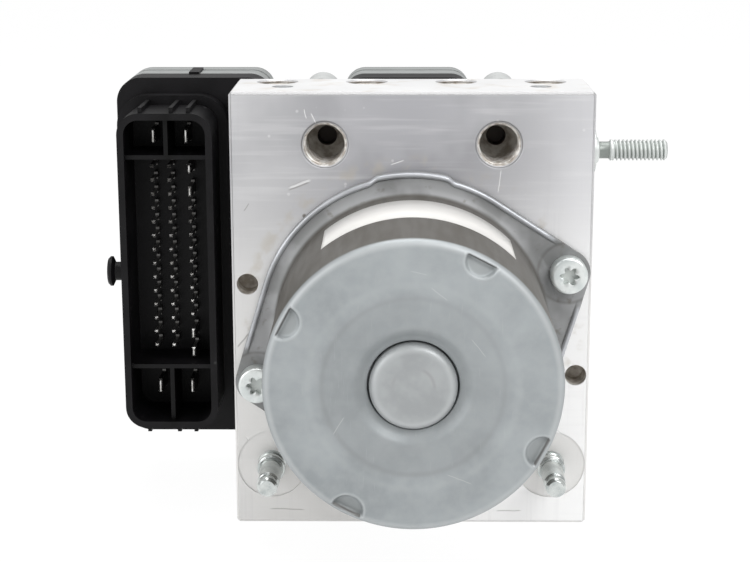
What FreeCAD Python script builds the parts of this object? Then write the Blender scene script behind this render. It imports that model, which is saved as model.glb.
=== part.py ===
import FreeCAD, Part
import math
import os
import re

import Sketcher

# An electronic brake control module: a drilled aluminium block that carries a pump motor in front and a
# control unit behind. The origin is the middle of the block's underside, +Z is up, -Y points to the motor.
# All sizes are in millimetres.

V = FreeCAD.Vector

sizes = {
    # hydraulic block and the fits used all over it
    "block_width": 100,
    "block_thick": 31,
    "block_height": 124,
    "block_edge": 0.8,
    "cutter_over": 1,
    "close_fit": 0.03,
    "loose_fit": 0.3,
    # brake line ports
    "port_chamfer": 0.5,
    "inlet_x": 23.8,
    "inlet_drop": 14.4,
    "inlet_radius": 6,
    "inlet_thread": 13.5,
    "inlet_seat": 4,
    "inlet_hole_radius": 2.5,
    "inlet_depth": 21.5,
    "outlet_edge": 11.9,
    "outlet_y": 8.4,
    "outlet_radius": 5.5,
    "outlet_thread": 12,
    "outlet_seat": 3,
    "passage_radius": 1.5,
    # balls that close the drilled passages
    "ball_inset": 2.2,
    "ball_front": 3,
    "ball_radius": 3,
    "ball_sink": 0.25,
    # locating holes in the front face
    "locate_radius": 3,
    "locate_depth": 8,
    "locate_left_edge": 4.3,
    "locate_left_z": 70.4,
    "locate_right_edge": 3.8,
    "locate_right_z": 44.2,
    # studs
    "stud_radius": 2.95,
    "stud_hole_radius": 4,
    "stud_hole_depth": 12,
    "front_stud_edge": 10.4,
    "front_stud_z": 17.7,
    "front_stud_length": 20,
    "stud_collar_radius": 4.3,
    "stud_collar": 2.2,
    "stud_groove_radius": 2.45,
    "stud_groove": 0.9,
    "stud_tip": 4.7,
    "stud_tip_radius": 2.75,
    "stud_chamfer": 0.8,
    "spot_radius": 9.8,
    "spot_depth": 0.3,
    "side_stud_front": 5,
    "side_stud_drop": 17.5,
    "side_stud_length": 21,
    "side_washer_radius": 6.2,
    "side_washer": 1,
    "side_neck_radius": 3.6,
    "side_neck": 4.2,
    "side_thread_start": 5.2,
    # motor can
    "motor_drop": 65.6,
    "can_radius": 37.5,
    "can_wall": 1.9,
    "can_length": 60,
    "rim_round": 2.4,
    "flange_radius": 43,
    "flange_thick": 1.8,
    "flange_root": 3.6,
    "bead_height": 2.6,
    "bead_width": 1.7,
    "bead_round": 1.1,
    "vent_lip_half": 13.2,
    "vent_lip_top_half": 9.8,
    "vent_lip_radius": 43.1,
    "vent_lip_round": 1.5,
    "vent_lip_thick": 3.2,
    "ear_distance": 46,
    "ear_angle": 20,
    "ear_spread": 42.5,
    "ear_radius": 6,
    "ear_count": 2,
    "ear_seat_radius": 6.2,
    "step_radius": 24.5,
    "step_width": 1.2,
    "step_depth": 0.7,
    "bowl_radius": 14.2,
    "bowl_depth": 2.6,
    "cap_radius": 11,
    "cap_gap": 0.25,
    "cap_seat": 2.4,
    "cap_proud": 0.6,
    "cap_round": 2,
    "crimp_distance": 36.3,
    "crimp_radius": 4.1,
    "crimp_depth": 1.3,
    "crimp_slope": 13,
    "crimp_angle": 62.5,
    "crimp_count": 4,
    # motor screws
    "screw_radius": 3,
    "screw_depth": 14,
    "screw_length": 12.5,
    "screw_head_radius": 5.1,
    "screw_head": 4.6,
    "screw_head_round": 1.2,
    "socket_radius": 1.9,
    "socket_lobe_radius": 0.72,
    "socket_depth": 2.6,
    "socket_lobes": 6,
    # motor insides
    "shaft_radius": 4,
    "bearing_width": 7,
    "front_bearing_radius": 11,
    "rear_bearing_radius": 9.5,
    "bearing_lip": 1.5,
    "magnet_thick": 5,
    "magnet_start": 13,
    "magnet_count": 4,
    "magnet_angle": 74,
    "air_gap": 0.7,
    "core_start": 16,
    "core_gap": 1.8,
    "slot_count": 10,
    "slot_width": 4.4,
    "slot_floor": 15,
    "wire_clear": 0.4,
    "winding_overhang": 5,
    "winding_inner": 12.6,
    "winding_round": 1.6,
    "commutator_radius": 9,
    "commutator_start": 1.2,
    "commutator_length": 8.6,
    "gasket_thick": 0.3,
    "gasket_width": 5,
    "holder_radius": 34.5,
    "holder_bore": 10.4,
    "holder_thick": 1.4,
    "brush_length": 11,
    "brush_wide": 7,
    "brush_high": 5,
    "brush_lift": 0.6,
    "brush_spring_room": 8,
    "tube_wall": 1.2,
    "terminal_distance": 24,
    "terminal_hole_radius": 4.2,
    "terminal_spread": 2,
    "terminal_thick": 0.8,
    "terminal_width": 2.6,
    # eccentric and pump
    "register_depth": 7.2,
    "chamber_radius": 10,
    "chamber_depth": 20,
    "pump_depth": 14.5,
    "pin_radius": 4.6,
    "pin_length": 8.2,
    "pin_offset": 0.9,
    "roller_radius": 0.75,
    "roller_gap": 0.05,
    "roller_count": 12,
    "roller_length": 6.8,
    "ring_wall": 1.6,
    "ring_width": 7.6,
    "piston_radius": 3,
    "piston_head_radius": 4.2,
    "piston_head": 1.5,
    "sleeve_radius": 6,
    "sleeve_start": 13,
    "piston_hole_radius": 3.6,
    "plug_radius": 7,
    "plug_head": 7.6,
    "plug_sink": 0.4,
    "plug_neck": 4,
    "plug_hex_radius": 3,
    "plug_hex_depth": 3,
    "wire_radius": 0.45,
    "spring_radius": 3.5,
    "spring_pitch": 2.2,
    "pump_spring_room": 9.5,
    # low-pressure accumulators
    "store_x": 18,
    "store_radius": 10,
    "store_depth": 26,
    "store_piston_length": 8,
    "store_wall": 2,
    "store_cap_radius": 11,
    "store_cap_sink": 0.4,
    "store_cap_thick": 2,
    "store_wire_radius": 0.7,
    "store_spring_radius": 6.5,
    "store_spring_pitch": 4,
    # solenoid valves
    "valve_inner": 12,
    "valve_edge": 14,
    "valve_low_drop": 44,
    "valve_high_drop": 26,
    "valve_radius": 5,
    "valve_depth": 13,
    "valve_nose_radius": 2.5,
    "valve_nose": 5.6,
    "valve_channel": 0.8,
    "dome_radius": 3.3,
    "dome_length": 13.2,
    "dome_wall": 0.6,
    "valve_collar": 0.8,
    "plunger_length": 7.4,
    "plunger_start": 4.2,
    "plunger_fit": 0.06,
    "needle_length": 1.6,
    "coil_radius": 7.6,
    "coil_start": 2.2,
    "coil_length": 9.6,
    "coil_flange": 1,
    "coil_groove": 0.6,
    "coil_fit": 0.2,
    # control unit: its left part is measured from the block's side, its heights from its own lower edge
    "unit_left": 35.3,
    "unit_drop": 106.3,
    "unit_top": 106.6,
    "unit_dip": 96.8,
    "unit_split": 26,
    "unit_back": 45,
    "unit_wall": 2.2,
    "unit_floor": 2,
    "unit_corner": 7,
    "hump_left_top": 43.5,
    "hump_left_foot": 38.5,
    "hump_round": 6,
    "foot_round": 2.5,
    "hump_mid_left_top": 17.5,
    "hump_mid_left_foot": 22,
    "hump_mid_right_top": 15.5,
    "hump_mid_right_foot": 20,
    "cover_round": 2,
    "cover_groove_start": 34.2,
    "cover_groove_width": 1.8,
    "cover_groove_depth": 0.7,
    "lug_shift": 1.1,
    "lug_z": 99.7,
    "lug_radius": 5.4,
    "low_screw_edge": 14,
    "low_screw_z": 8.3,
    "unit_screw_radius": 2,
    "unit_screw_hole": 2.3,
    "unit_screw_depth": 9,
    "unit_screw_head_radius": 3.8,
    "unit_screw_head": 2.4,
    "boss_radius": 4.4,
    "clip_x": 13.8,
    "clip_width": 3,
    "clip_thick": 1.2,
    "clip_reach": 11,
    "clip_gap": 0.15,
    "seal_width": 1.6,
    "seal_depth": 1.4,
    "seal_edge": 6,
    "seal_low": 48.3,
    "seal_high": 93.3,
    "dome_hole": 6.2,
    # connector shroud
    "plug_left": 31.9,
    "plug_right": 5.4,
    "plug_low": 8.5,
    "plug_high": 99.5,
    "plug_reach": 24.5,
    "plug_wall": 1.9,
    "plug_corner": 6,
    "plug_rim": 2.5,
    "plug_floor_y": 10,
    "skirt": 2.7,
    "skirt_height": 5.8,
    "divider": 1.2,
    "divider_x": 18.6,
    "divider_high": 86.9,
    "divider_low": 26.3,
    "rib_height": 1.5,
    "rib_width": 1.1,
    "rib_back": 1.5,
    "rib_first": 25.4,
    "rib_second": 16.8,
    "rib_third": 12,
    "knob_y": 4,
    "knob_z": 53.8,
    "knob_neck_radius": 2.65,
    "knob_neck": 2.2,
    "knob_cone": 0.8,
    "knob_head_radius": 4.25,
    "knob_head": 0.6,
    "knob_taper": 0.6,
    # connector pins
    "pin_tip": 2,
    "pin_side": 0.7,
    "pin_first": 23.4,
    "pin_second": 18.5,
    "pin_third": 12.8,
    "pin_low_z": 31.2,
    "pin_pitch": 4.03,
    "pin_rows": 14,
    "short_low_z": 40.4,
    "short_rows": 9,
    "short_pitch": 3.9,
    "tab_width": 2.8,
    "tab_top_z": 82.9,
    "tab_second_z": 76.3,
    "tab_third_z": 34.7,
    "tab_low_z": 29.2,
    "blade_width": 4.2,
    "blade_left": 22.7,
    "blade_right": 13.5,
    "blade_high_z": 92.2,
    "blade_low_z": 19,
    # circuit board
    "board_y": 30,
    "board_thick": 1.6,
    "board_gap": 0.5,
    "board_post_radius": 2.4,
    "chip_side": 16,
    "chip_thick": 1.8,
    "can_cap_radius": 4,
    "can_cap_height": 9,
}

doc = FreeCAD.newDocument("abs_brake_module")
sheet = doc.addObject("Spreadsheet::Sheet", "sizes")
for row, (alias, number) in enumerate(sizes.items(), start=1):
    sheet.set("A%d" % row, alias)
    sheet.set("B%d" % row, str(number))
    sheet.setAlias("B%d" % row, alias)
doc.recompute()

nodes = []

# Which way the local +Z of a piece points.
TOWARDS = {
    "up": FreeCAD.Rotation(),
    "down": FreeCAD.Rotation(V(1, 0, 0), 180),
    "front": FreeCAD.Rotation(V(1, 0, 0), 90),
    "back": FreeCAD.Rotation(V(1, 0, 0), -90),
    "right": FreeCAD.Rotation(V(0, 1, 0), 90),
    "left": FreeCAD.Rotation(V(0, 1, 0), -90),
}
SIDES = {"left": "-1", "right": "1"}


def bound(text):
    """An expression on size names, as the document's other objects read it."""
    return re.sub(r"[a-z][a-z_]*", lambda w: "sizes." + w.group() if w.group() in sizes else w.group(), text)


def size(text):
    """What an expression on size names comes to at present."""
    result = sheet.evalExpression(text)
    return float(getattr(result, "Value", result))


def place(thing, at=("0", "0", "0"), towards="up", turn=0):
    """Put a piece's own origin at a point, with its +Z one way, after a turn about that axis."""
    rotation = TOWARDS[towards].multiply(FreeCAD.Rotation(V(0, 0, 1), turn))
    thing.Placement = FreeCAD.Placement(V(0, 0, 0), rotation)
    for axis, text in zip("xyz", at):
        if text != "0":
            thing.setExpression("Placement.Base." + axis, bound(text))
    return thing


def rod(radius, length, at=("0", "0", "0"), towards="up"):
    rod_piece = doc.addObject("Part::Cylinder", "rod")
    rod_piece.setExpression("Radius", bound(radius))
    rod_piece.setExpression("Height", bound(length))
    return place(rod_piece, at, towards)


def bar(wide, deep, tall, at=("0", "0", "0"), turn=0):
    """A box whose corner nearest the origin lies at a point."""
    box = doc.addObject("Part::Box", "bar")
    box.setExpression("Length", bound(wide))
    box.setExpression("Width", bound(deep))
    box.setExpression("Height", bound(tall))
    return place(box, at, "up", turn)


def union(pieces):
    if len(pieces) == 1:
        return pieces[0]
    whole = doc.addObject("Part::MultiFuse", "union")
    whole.Shapes = pieces
    return whole


def cut(base, tools):
    rest = doc.addObject("Part::Cut", "cut")
    rest.Base = base
    rest.Tool = union(tools)
    return rest


def group(pieces):
    """Several separate solids that share a node."""
    together = doc.addObject("Part::Compound", "group")
    together.Links = pieces
    return together


def node(name, thing):
    thing.Label = name
    nodes.append(thing)
    return thing


def hold(sketch, rules, bindings, element, spot, x, y):
    """Tie one point of a sketch to two expressions."""
    for kind, text, axis in (("DistanceX", x, -2), ("DistanceY", y, -1)):
        if text == "0":
            rules.append(Sketcher.Constraint("PointOnObject", element, spot, axis))
        else:
            bindings.append((len(rules), text))
            rules.append(Sketcher.Constraint(kind, -1, 1, element, spot, size(text)))


def apply(sketch, rules, bindings):
    first = sketch.ConstraintCount
    sketch.addConstraint(rules)
    for index, text in bindings:
        sketch.setExpression("Constraints[%d]" % (first + index), bound(text))


def outline(sketch, corners):
    """Straight sides between corners given as two expressions; a third one rounds that corner."""
    places = [V(size(corner[0]), size(corner[1]), 0) for corner in corners]
    count = len(places)
    stops, starts, rounds = list(places), list(places), {}
    for i, corner in enumerate(corners):
        if len(corner) == 2:
            continue
        here = places[i]
        before = (places[i - 1] - here).normalize()
        after = (places[(i + 1) % count] - here).normalize()
        half = before.getAngle(after) / 2
        radius = size(corner[2])
        middle = here + (before + after).normalize() * (radius / math.sin(half))
        stops[i] = here + before * (radius / math.tan(half))
        starts[i] = here + after * (radius / math.tan(half))
        left_turn = before.cross(after).z < 0
        rounds[i] = (middle, radius, left_turn)
    geometry = [Part.LineSegment(starts[i], stops[(i + 1) % count]) for i in range(count)]
    side = sketch.GeometryCount
    rules, bindings, extra = [], [], side + count
    for i, corner in enumerate(corners):
        last, this = side + (i - 1) % count, side + i
        if i not in rounds:
            rules.append(Sketcher.Constraint("Coincident", last, 2, this, 1))
            hold(sketch, rules, bindings, this, 1, corner[0], corner[1])
            continue
        middle, radius, left_turn = rounds[i]
        leaving, entering = stops[i] - middle, starts[i] - middle
        angles = [math.atan2(leaving.y, leaving.x), math.atan2(entering.y, entering.x)]
        spots = (1, 2)
        if not left_turn:
            angles.reverse()
            spots = (2, 1)
        geometry.append(Part.ArcOfCircle(Part.Circle(middle, V(0, 0, 1), radius), *angles))
        geometry.append(Part.Point(places[i]))
        arc, point = extra, extra + 1
        extra += 2
        rules.append(Sketcher.Constraint("Tangent", last, 2, arc, spots[0]))
        rules.append(Sketcher.Constraint("Tangent", arc, spots[1], this, 1))
        bindings.append((len(rules), corner[2]))
        rules.append(Sketcher.Constraint("Radius", arc, radius))
        rules.append(Sketcher.Constraint("PointOnObject", point, 1, last))
        rules.append(Sketcher.Constraint("PointOnObject", point, 1, this))
        hold(sketch, rules, bindings, point, 1, corner[0], corner[1])
    sketch.addGeometry(geometry, False)
    for index in range(side + count, extra):
        if isinstance(sketch.Geometry[index], Part.Point):
            sketch.setConstruction(index, True)
    apply(sketch, rules, bindings)


def circles(sketch, rings):
    """Circles given as the two expressions of the middle and one of the radius."""
    rules, bindings = [], []
    for x, y, radius in rings:
        ring = sketch.addGeometry(Part.Circle(V(size(x), size(y), 0), V(0, 0, 1), size(radius)))
        hold(sketch, rules, bindings, ring, 3, x, y)
        bindings.append((len(rules), radius))
        rules.append(Sketcher.Constraint("Radius", ring, size(radius)))
    apply(sketch, rules, bindings)


def new_body(at=("0", "0", "0"), towards="up"):
    return place(doc.addObject("PartDesign::Body", "body"), at, towards)


def new_sketch(body, plane="XY_Plane", height="0"):
    sketch = body.newObject("Sketcher::SketchObject", "sketch")
    face = [f for f in body.Origin.OriginFeatures if f.Role == plane][0]
    sketch.AttachmentSupport = (face, [""])
    sketch.MapMode = "FlatFace"
    if height != "0":
        sketch.setExpression("AttachmentOffset.Base.z", bound(height))
    return sketch


def pad(body, outlines, length, height="0", rings=(), down=False):
    """Material of a length on a flat shape that lies at a height of the body."""
    sketch = new_sketch(body, "XY_Plane", height)
    for corners in outlines:
        outline(sketch, corners)
    circles(sketch, rings)
    added = body.newObject("PartDesign::Pad", "pad")
    added.Profile = sketch
    added.setExpression("Length", bound(length))
    added.Reversed = down
    return added


def pocket(body, outlines, depth, height="0", rings=(), upwards=False):
    """A recess of a depth from a flat shape that lies at a height of the body."""
    sketch = new_sketch(body, "XY_Plane", height)
    for corners in outlines:
        outline(sketch, corners)
    circles(sketch, rings)
    doc.recompute()
    before = body.Shape.Volume
    taken = body.newObject("PartDesign::Pocket", "pocket")
    taken.Profile = sketch
    taken.setExpression("Length", bound(depth))
    taken.Reversed = upwards
    doc.recompute()
    if not body.Shape.Volume < before - 1e-6:
        raise RuntimeError("a pocket cuts nothing")
    return taken


def revolve(body, corners):
    """A profile in radius and height, turned round the body's own Z axis."""
    sketch = new_sketch(body, "XZ_Plane")
    outline(sketch, corners)
    turn = body.newObject("PartDesign::Revolution", "turn")
    turn.Profile = sketch
    turn.ReferenceAxis = (sketch, ["V_Axis"])
    turn.Angle = 360
    return turn


def turned(corners, at=("0", "0", "0"), towards="up"):
    body = new_body(at, towards)
    revolve(body, corners)
    return body


def coil_spring(mean_radius, wire, pitch, length, at, towards):
    """A round wire wound about the local Z axis, starting one wire radius above the local origin."""
    body = new_body(at, towards)
    sketch = new_sketch(body, "XZ_Plane")
    circles(sketch, [(mean_radius, wire, wire)])
    wound = body.newObject("PartDesign::AdditiveHelix", "wound")
    wound.Profile = sketch
    wound.ReferenceAxis = (sketch, ["V_Axis"])
    wound.Mode = 0
    wound.setExpression("Pitch", bound(pitch))
    wound.setExpression("Height", bound("%s - 2 * %s" % (length, wire)))
    return body


def rectangle(x_from, x_to, y_from, y_to, radius=None):
    """The four corners of a rectangle, rounded where a radius is given."""
    corners = [(x_from, y_from), (x_to, y_from), (x_to, y_to), (x_from, y_to)]
    return [corner + (radius,) for corner in corners] if radius else corners


# Hydraulic block. A drawn aluminium bar, sawn to length, milled all round and drilled from every side.
# Each drill is a turned tool that starts just outside the face it enters.
FRONT = "-block_thick / 2"
BACK = "block_thick / 2"
OVER = "-cutter_over"
MOTOR_Z = "(block_height - motor_drop)"
MOTOR = ("0", FRONT, MOTOR_Z)
CAN_INSIDE = "(can_radius - can_wall)"
EAR_X = "ear_distance * cos(ear_angle)"
EAR_Z = "ear_distance * sin(ear_angle)"
OUTER_OUTLET = "(block_width / 2 - outlet_edge)"
OUTLETS = ["%s * %s" % (share, OUTER_OUTLET) for share in ("-1", "-1 / 3", "1 / 3", "1")]
BALL_X = "(block_width / 2 - outlet_edge - ball_inset)"
STUD_X = "(block_width / 2 - front_stud_edge)"
SIDE_STUD = ("block_width / 2", "-side_stud_front", "block_height - side_stud_drop")
VALVE_OUTER = "(block_width / 2 - valve_edge)"
VALVE_XS = ["-" + VALVE_OUTER, "-valve_inner", "valve_inner", VALVE_OUTER]
VALVE_LOW, VALVE_HIGH = "(block_height - valve_low_drop)", "(block_height - valve_high_drop)"


def raised(text):
    """A height measured from the control unit's lower edge."""
    return "(block_height - unit_drop + " + text + ")"


LUG_X = "(" + OUTER_OUTLET + " * 2 / 3 + lug_shift)"
LOW_SCREW_X = "(block_width / 2 - low_screw_edge)"
UNIT_SCREWS = [("-" + LUG_X, raised("lug_z")), (LUG_X, raised("lug_z")),
               ("-" + LOW_SCREW_X, raised("low_screw_z")), (LOW_SCREW_X, raised("low_screw_z"))]


def drill(steps, at, towards):
    """A drill whose steps are corners of radius and depth, from the mouth inwards to the axis."""
    mouth = steps[0][0]
    return turned([("0", OVER), (mouth, OVER)] + steps + [("0", steps[-1][1])], at, towards)


def hole(radius, depth, at, towards):
    return drill([(radius, depth)], at, towards)


def blind_hole(radius, depth, at, towards):
    """A hole with the drill's cone at its end."""
    return turned([("0", OVER), (radius, OVER), (radius, depth), ("0", "%s + %s / 2" % (depth, radius))],
                  at, towards)


block = new_body()
pad(block, [rectangle("-block_width / 2", "block_width / 2", "-block_thick / 2", "block_thick / 2")],
    "block_height")
edges = block.newObject("PartDesign::Chamfer", "broken_edges")
doc.recompute()
edges.Base = (block.Group[1], ["Edge%d" % (i + 1) for i in range(12)])
edges.setExpression("Size", bound("block_edge"))

drills = []
for sign in SIDES.values():
    drills.append(drill(
        [("inlet_radius + port_chamfer", "0"), ("inlet_radius", "port_chamfer"),
         ("inlet_radius", "inlet_thread"), ("inlet_hole_radius", "inlet_thread + inlet_seat"),
         ("inlet_hole_radius", "inlet_depth")],
        (sign + " * inlet_x", FRONT, "block_height - inlet_drop"), "back"))
    drills.append(drill(
        [("ball_radius", "2 * ball_radius + ball_sink"),
         ("passage_radius", "2 * ball_radius + ball_sink"),
         ("passage_radius", "valve_low_drop")],
        (sign + " * " + BALL_X, "-ball_front", "block_height"), "down"))
    drills.append(drill(
        [("spot_radius", "spot_depth"), ("stud_hole_radius", "spot_depth"),
         ("stud_hole_radius", "stud_hole_depth")],
        (sign + " * " + STUD_X, FRONT, "front_stud_z"), "back"))
    drills.append(blind_hole("screw_radius", "screw_depth",
                             (sign + " * " + EAR_X, FRONT, MOTOR_Z + " + " + sign + " * " + EAR_Z), "back"))
    drills.append(drill(
        [("store_cap_radius", "store_cap_sink + store_cap_thick"),
         ("store_radius", "store_cap_sink + store_cap_thick"), ("store_radius", "store_depth")],
        (sign + " * store_x", "0", "0"), "up"))
    drills.append(drill(
        [("plug_radius", "plug_head + plug_sink"), ("sleeve_radius", "plug_head + plug_sink"),
         ("sleeve_radius", "block_width / 2 - sleeve_start"),
         ("piston_hole_radius", "block_width / 2 - sleeve_start"),
         ("piston_hole_radius", "block_width / 2 - chamber_radius + cutter_over")],
        (sign + " * block_width / 2", FRONT + " + pump_depth", MOTOR_Z),
        "left" if sign == "1" else "right"))
for x in OUTLETS:
    drills.append(drill(
        [("outlet_radius + port_chamfer", "0"), ("outlet_radius", "port_chamfer"),
         ("outlet_radius", "outlet_thread"), ("passage_radius", "outlet_thread + outlet_seat"),
         ("passage_radius", "valve_high_drop")],
        (x, "outlet_y", "block_height"), "down"))
for x in VALVE_XS:
    for z in (VALVE_LOW, VALVE_HIGH):
        drills.append(drill(
            [("valve_radius", "valve_depth"), ("valve_nose_radius", "valve_depth"),
             ("valve_nose_radius", "valve_depth + valve_nose")], (x, BACK, z), "front"))
for x, z in UNIT_SCREWS:
    drills.append(hole("unit_screw_radius + close_fit", "unit_screw_depth + cutter_over",
                       (x, BACK, z), "front"))
drills.append(blind_hole("locate_radius", "locate_depth",
                         ("locate_left_edge - block_width / 2", FRONT, "locate_left_z"), "back"))
drills.append(blind_hole("locate_radius", "locate_depth",
                         ("block_width / 2 - locate_right_edge", FRONT, "locate_right_z"), "back"))
drills.append(hole("stud_hole_radius", "stud_hole_depth", SIDE_STUD, "left"))
drills.append(hole("terminal_hole_radius", "block_thick + cutter_over",
                   ("0", FRONT, MOTOR_Z + " + terminal_distance"), "back"))
drills.append(drill(
    [("front_bearing_radius + close_fit", "register_depth"), ("chamber_radius", "register_depth"),
     ("chamber_radius", "chamber_depth")], MOTOR, "back"))
node("hydraulic_block", cut(block, drills))

# Sealing balls, pressed into the mouths of the long drillings.
balls = []
for sign in SIDES.values():
    ball = doc.addObject("Part::Sphere", "ball")
    ball.setExpression("Radius", bound("ball_radius - close_fit"))
    balls.append(place(
        ball, (sign + " * " + BALL_X, "-ball_front", "block_height - ball_radius - ball_sink")))
node("sealing_balls", group(balls))

# Studs, screwed into the block: two below the motor and one in the right side.
STUD_SHANK = "front_stud_length - stud_tip - stud_groove"
STUD_ROOT = "stud_hole_radius - close_fit"
front_studs = []
for sign in SIDES.values():
    front_studs.append(turned(
        [("0", "close_fit - stud_hole_depth"), (STUD_ROOT, "close_fit - stud_hole_depth"),
         (STUD_ROOT, "-spot_depth"), ("stud_collar_radius", "-spot_depth"),
         ("stud_collar_radius", "stud_collar"), ("stud_radius", "stud_collar"),
         ("stud_radius", STUD_SHANK), ("stud_groove_radius", STUD_SHANK),
         ("stud_groove_radius", "front_stud_length - stud_tip"),
         ("stud_tip_radius", "front_stud_length - stud_tip"),
         ("stud_tip_radius", "front_stud_length - stud_chamfer"),
         ("stud_tip_radius - stud_chamfer", "front_stud_length"), ("0", "front_stud_length")],
        (sign + " * " + STUD_X, FRONT, "front_stud_z"), "front"))
node("front_studs", group(front_studs))
node("side_stud", turned(
    [("0", "close_fit - stud_hole_depth"), (STUD_ROOT, "close_fit - stud_hole_depth"),
     (STUD_ROOT, "0"), ("side_washer_radius", "0"), ("side_washer_radius", "side_washer"),
     ("side_neck_radius", "side_washer"), ("side_neck_radius", "side_neck"),
     ("stud_groove_radius", "side_neck"), ("stud_groove_radius", "side_thread_start"),
     ("stud_radius", "side_thread_start"), ("stud_radius", "side_stud_length - stud_chamfer"),
     ("stud_radius - stud_chamfer", "side_stud_length"), ("0", "side_stud_length")],
    SIDE_STUD, "right"))

# Motor can, one piece of drawn steel: flange with two ears, straight wall, rounded rim, stepped end with a
# bearing pocket in its middle, and four half-moon dents where it was crimped.
INNER_END = "can_length - can_wall"
CAP_FLOOR = "can_length - step_depth - bowl_depth - cap_seat"
BEARING_FLOOR = "(" + CAP_FLOOR + " - bearing_width - bearing_lip)"

barrel = turned([
    (CAN_INSIDE, "0"), ("flange_radius", "0"), ("flange_radius", "bead_height", "bead_round"),
    ("flange_radius - bead_width", "bead_height"), ("flange_radius - bead_width", "flange_thick"),
    ("can_radius", "flange_thick", "flange_root"), ("can_radius", "can_length", "rim_round"),
    ("step_radius + step_width / 2", "can_length"),
    ("step_radius - step_width / 2", "can_length - step_depth"),
    ("bowl_radius", "can_length - step_depth"),
    ("cap_radius + cap_gap", "can_length - step_depth - bowl_depth"), ("cap_radius + cap_gap", CAP_FLOOR),
    ("rear_bearing_radius + close_fit", CAP_FLOOR),
    ("rear_bearing_radius + close_fit", BEARING_FLOOR + " + bearing_lip"),
    ("rear_bearing_radius - bearing_lip", BEARING_FLOOR + " + bearing_lip"),
    ("rear_bearing_radius - bearing_lip", BEARING_FLOOR), ("rear_bearing_radius + can_wall", BEARING_FLOOR),
    ("rear_bearing_radius + can_wall", CAP_FLOOR + " - can_wall"),
    ("cap_radius + can_wall", CAP_FLOOR + " - can_wall"),
    ("cap_radius + can_wall", "can_length - step_depth - bowl_depth - can_wall"),
    ("bowl_radius + can_wall", "can_length - step_depth - can_wall"),
    ("step_radius - step_width", "can_length - step_depth - can_wall"),
    ("step_radius", INNER_END), (CAN_INSIDE, INNER_END, "rim_round - can_wall")])
vent_lip = new_body()
pad(vent_lip, [[("-vent_lip_half", "can_radius"), ("vent_lip_half", "can_radius"),
                ("vent_lip_top_half", "vent_lip_radius", "vent_lip_round"),
                ("-vent_lip_top_half", "vent_lip_radius", "vent_lip_round")]], "vent_lip_thick")
# An ear is a plate with a rounded tip, whose sides run into the round flange.
EAR_FOOT = "(ear_distance * cos(ear_spread) + ear_radius)"
plates = []
can_cuts = [rod(CAN_INSIDE, "flange_thick + cutter_over", ("0", "0", OVER))]
for i in range(int(size("ear_count"))):
    ear = new_body()
    pad(ear, [[("ear_distance + ear_radius / cos(ear_spread)", "0", "ear_radius"),
               (EAR_FOOT + " * cos(ear_spread)", EAR_FOOT + " * sin(ear_spread)"),
               (EAR_FOOT + " * cos(ear_spread)", "-" + EAR_FOOT + " * sin(ear_spread)")]], "flange_thick")
    way = size("ear_angle + %d * 360 / ear_count" % i)
    plates.append(place(ear, turn=way))
    seat = rod("ear_seat_radius", "bead_height", ("ear_distance", "0", "flange_thick"))
    screw_way = rod("screw_radius + loose_fit", "flange_thick + 2 * cutter_over", ("ear_distance", "0", OVER))
    can_cuts.append(place(group([seat, screw_way]), turn=way))
# A crimp is half a disc with its straight side outwards; the stamp leant, so it is deepest there.
for i in range(int(size("crimp_count"))):
    stamp = doc.addObject("Part::Cylinder", "stamp")
    stamp.setExpression("Radius", bound("crimp_radius"))
    stamp.setExpression("Height", bound("2 * crimp_depth"))
    stamp.Angle = 180
    lean = FreeCAD.Rotation(V(0, 1, 0), size("crimp_slope"))
    stamp.Placement = FreeCAD.Placement(V(0, 0, 0), lean.multiply(FreeCAD.Rotation(V(0, 0, 1), 90)))
    stamp.setExpression("Placement.Base.x", bound("crimp_distance"))
    stamp.setExpression("Placement.Base.z", bound("can_length - crimp_depth"))
    can_cuts.append(place(group([stamp]), turn=size("crimp_angle + %d * 360 / crimp_count" % i)))
node("motor_housing", place(cut(union([barrel, vent_lip] + plates), can_cuts), MOTOR, "front"))

CAP_TOP = "can_length - step_depth + cap_proud"
node("bearing_cap", turned(
    [("0", CAP_FLOOR), ("cap_radius", CAP_FLOOR), ("cap_radius", CAP_TOP, "cap_round"), ("0", CAP_TOP)],
    MOTOR, "front"))

# Motor screws, with a six-lobed socket in a round head.
motor_screws = []
for sign in SIDES.values():
    seat = (sign + " * " + EAR_X, FRONT, MOTOR_Z + " + " + sign + " * " + EAR_Z)
    shank_radius = "screw_radius - close_fit"
    blank = turned(
        [("0", "-screw_length"), (shank_radius, "-screw_length"), (shank_radius, "flange_thick"),
         ("screw_head_radius", "flange_thick"),
         ("screw_head_radius", "flange_thick + screw_head", "screw_head_round"),
         ("0", "flange_thick + screw_head")])
    floor = "flange_thick + screw_head - socket_depth"
    lobes = [rod("socket_radius", "socket_depth + cutter_over", ("0", "0", floor))]
    for i in range(int(size("socket_lobes"))):
        way = "(%d * 360 / socket_lobes)" % i
        lobes.append(rod("socket_lobe_radius", "socket_depth + cutter_over",
                         ("socket_radius * cos%s" % way, "socket_radius * sin%s" % way, floor)))
    motor_screws.append(place(cut(blank, lobes), seat, "front"))
node("motor_screws", group(motor_screws))

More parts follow.
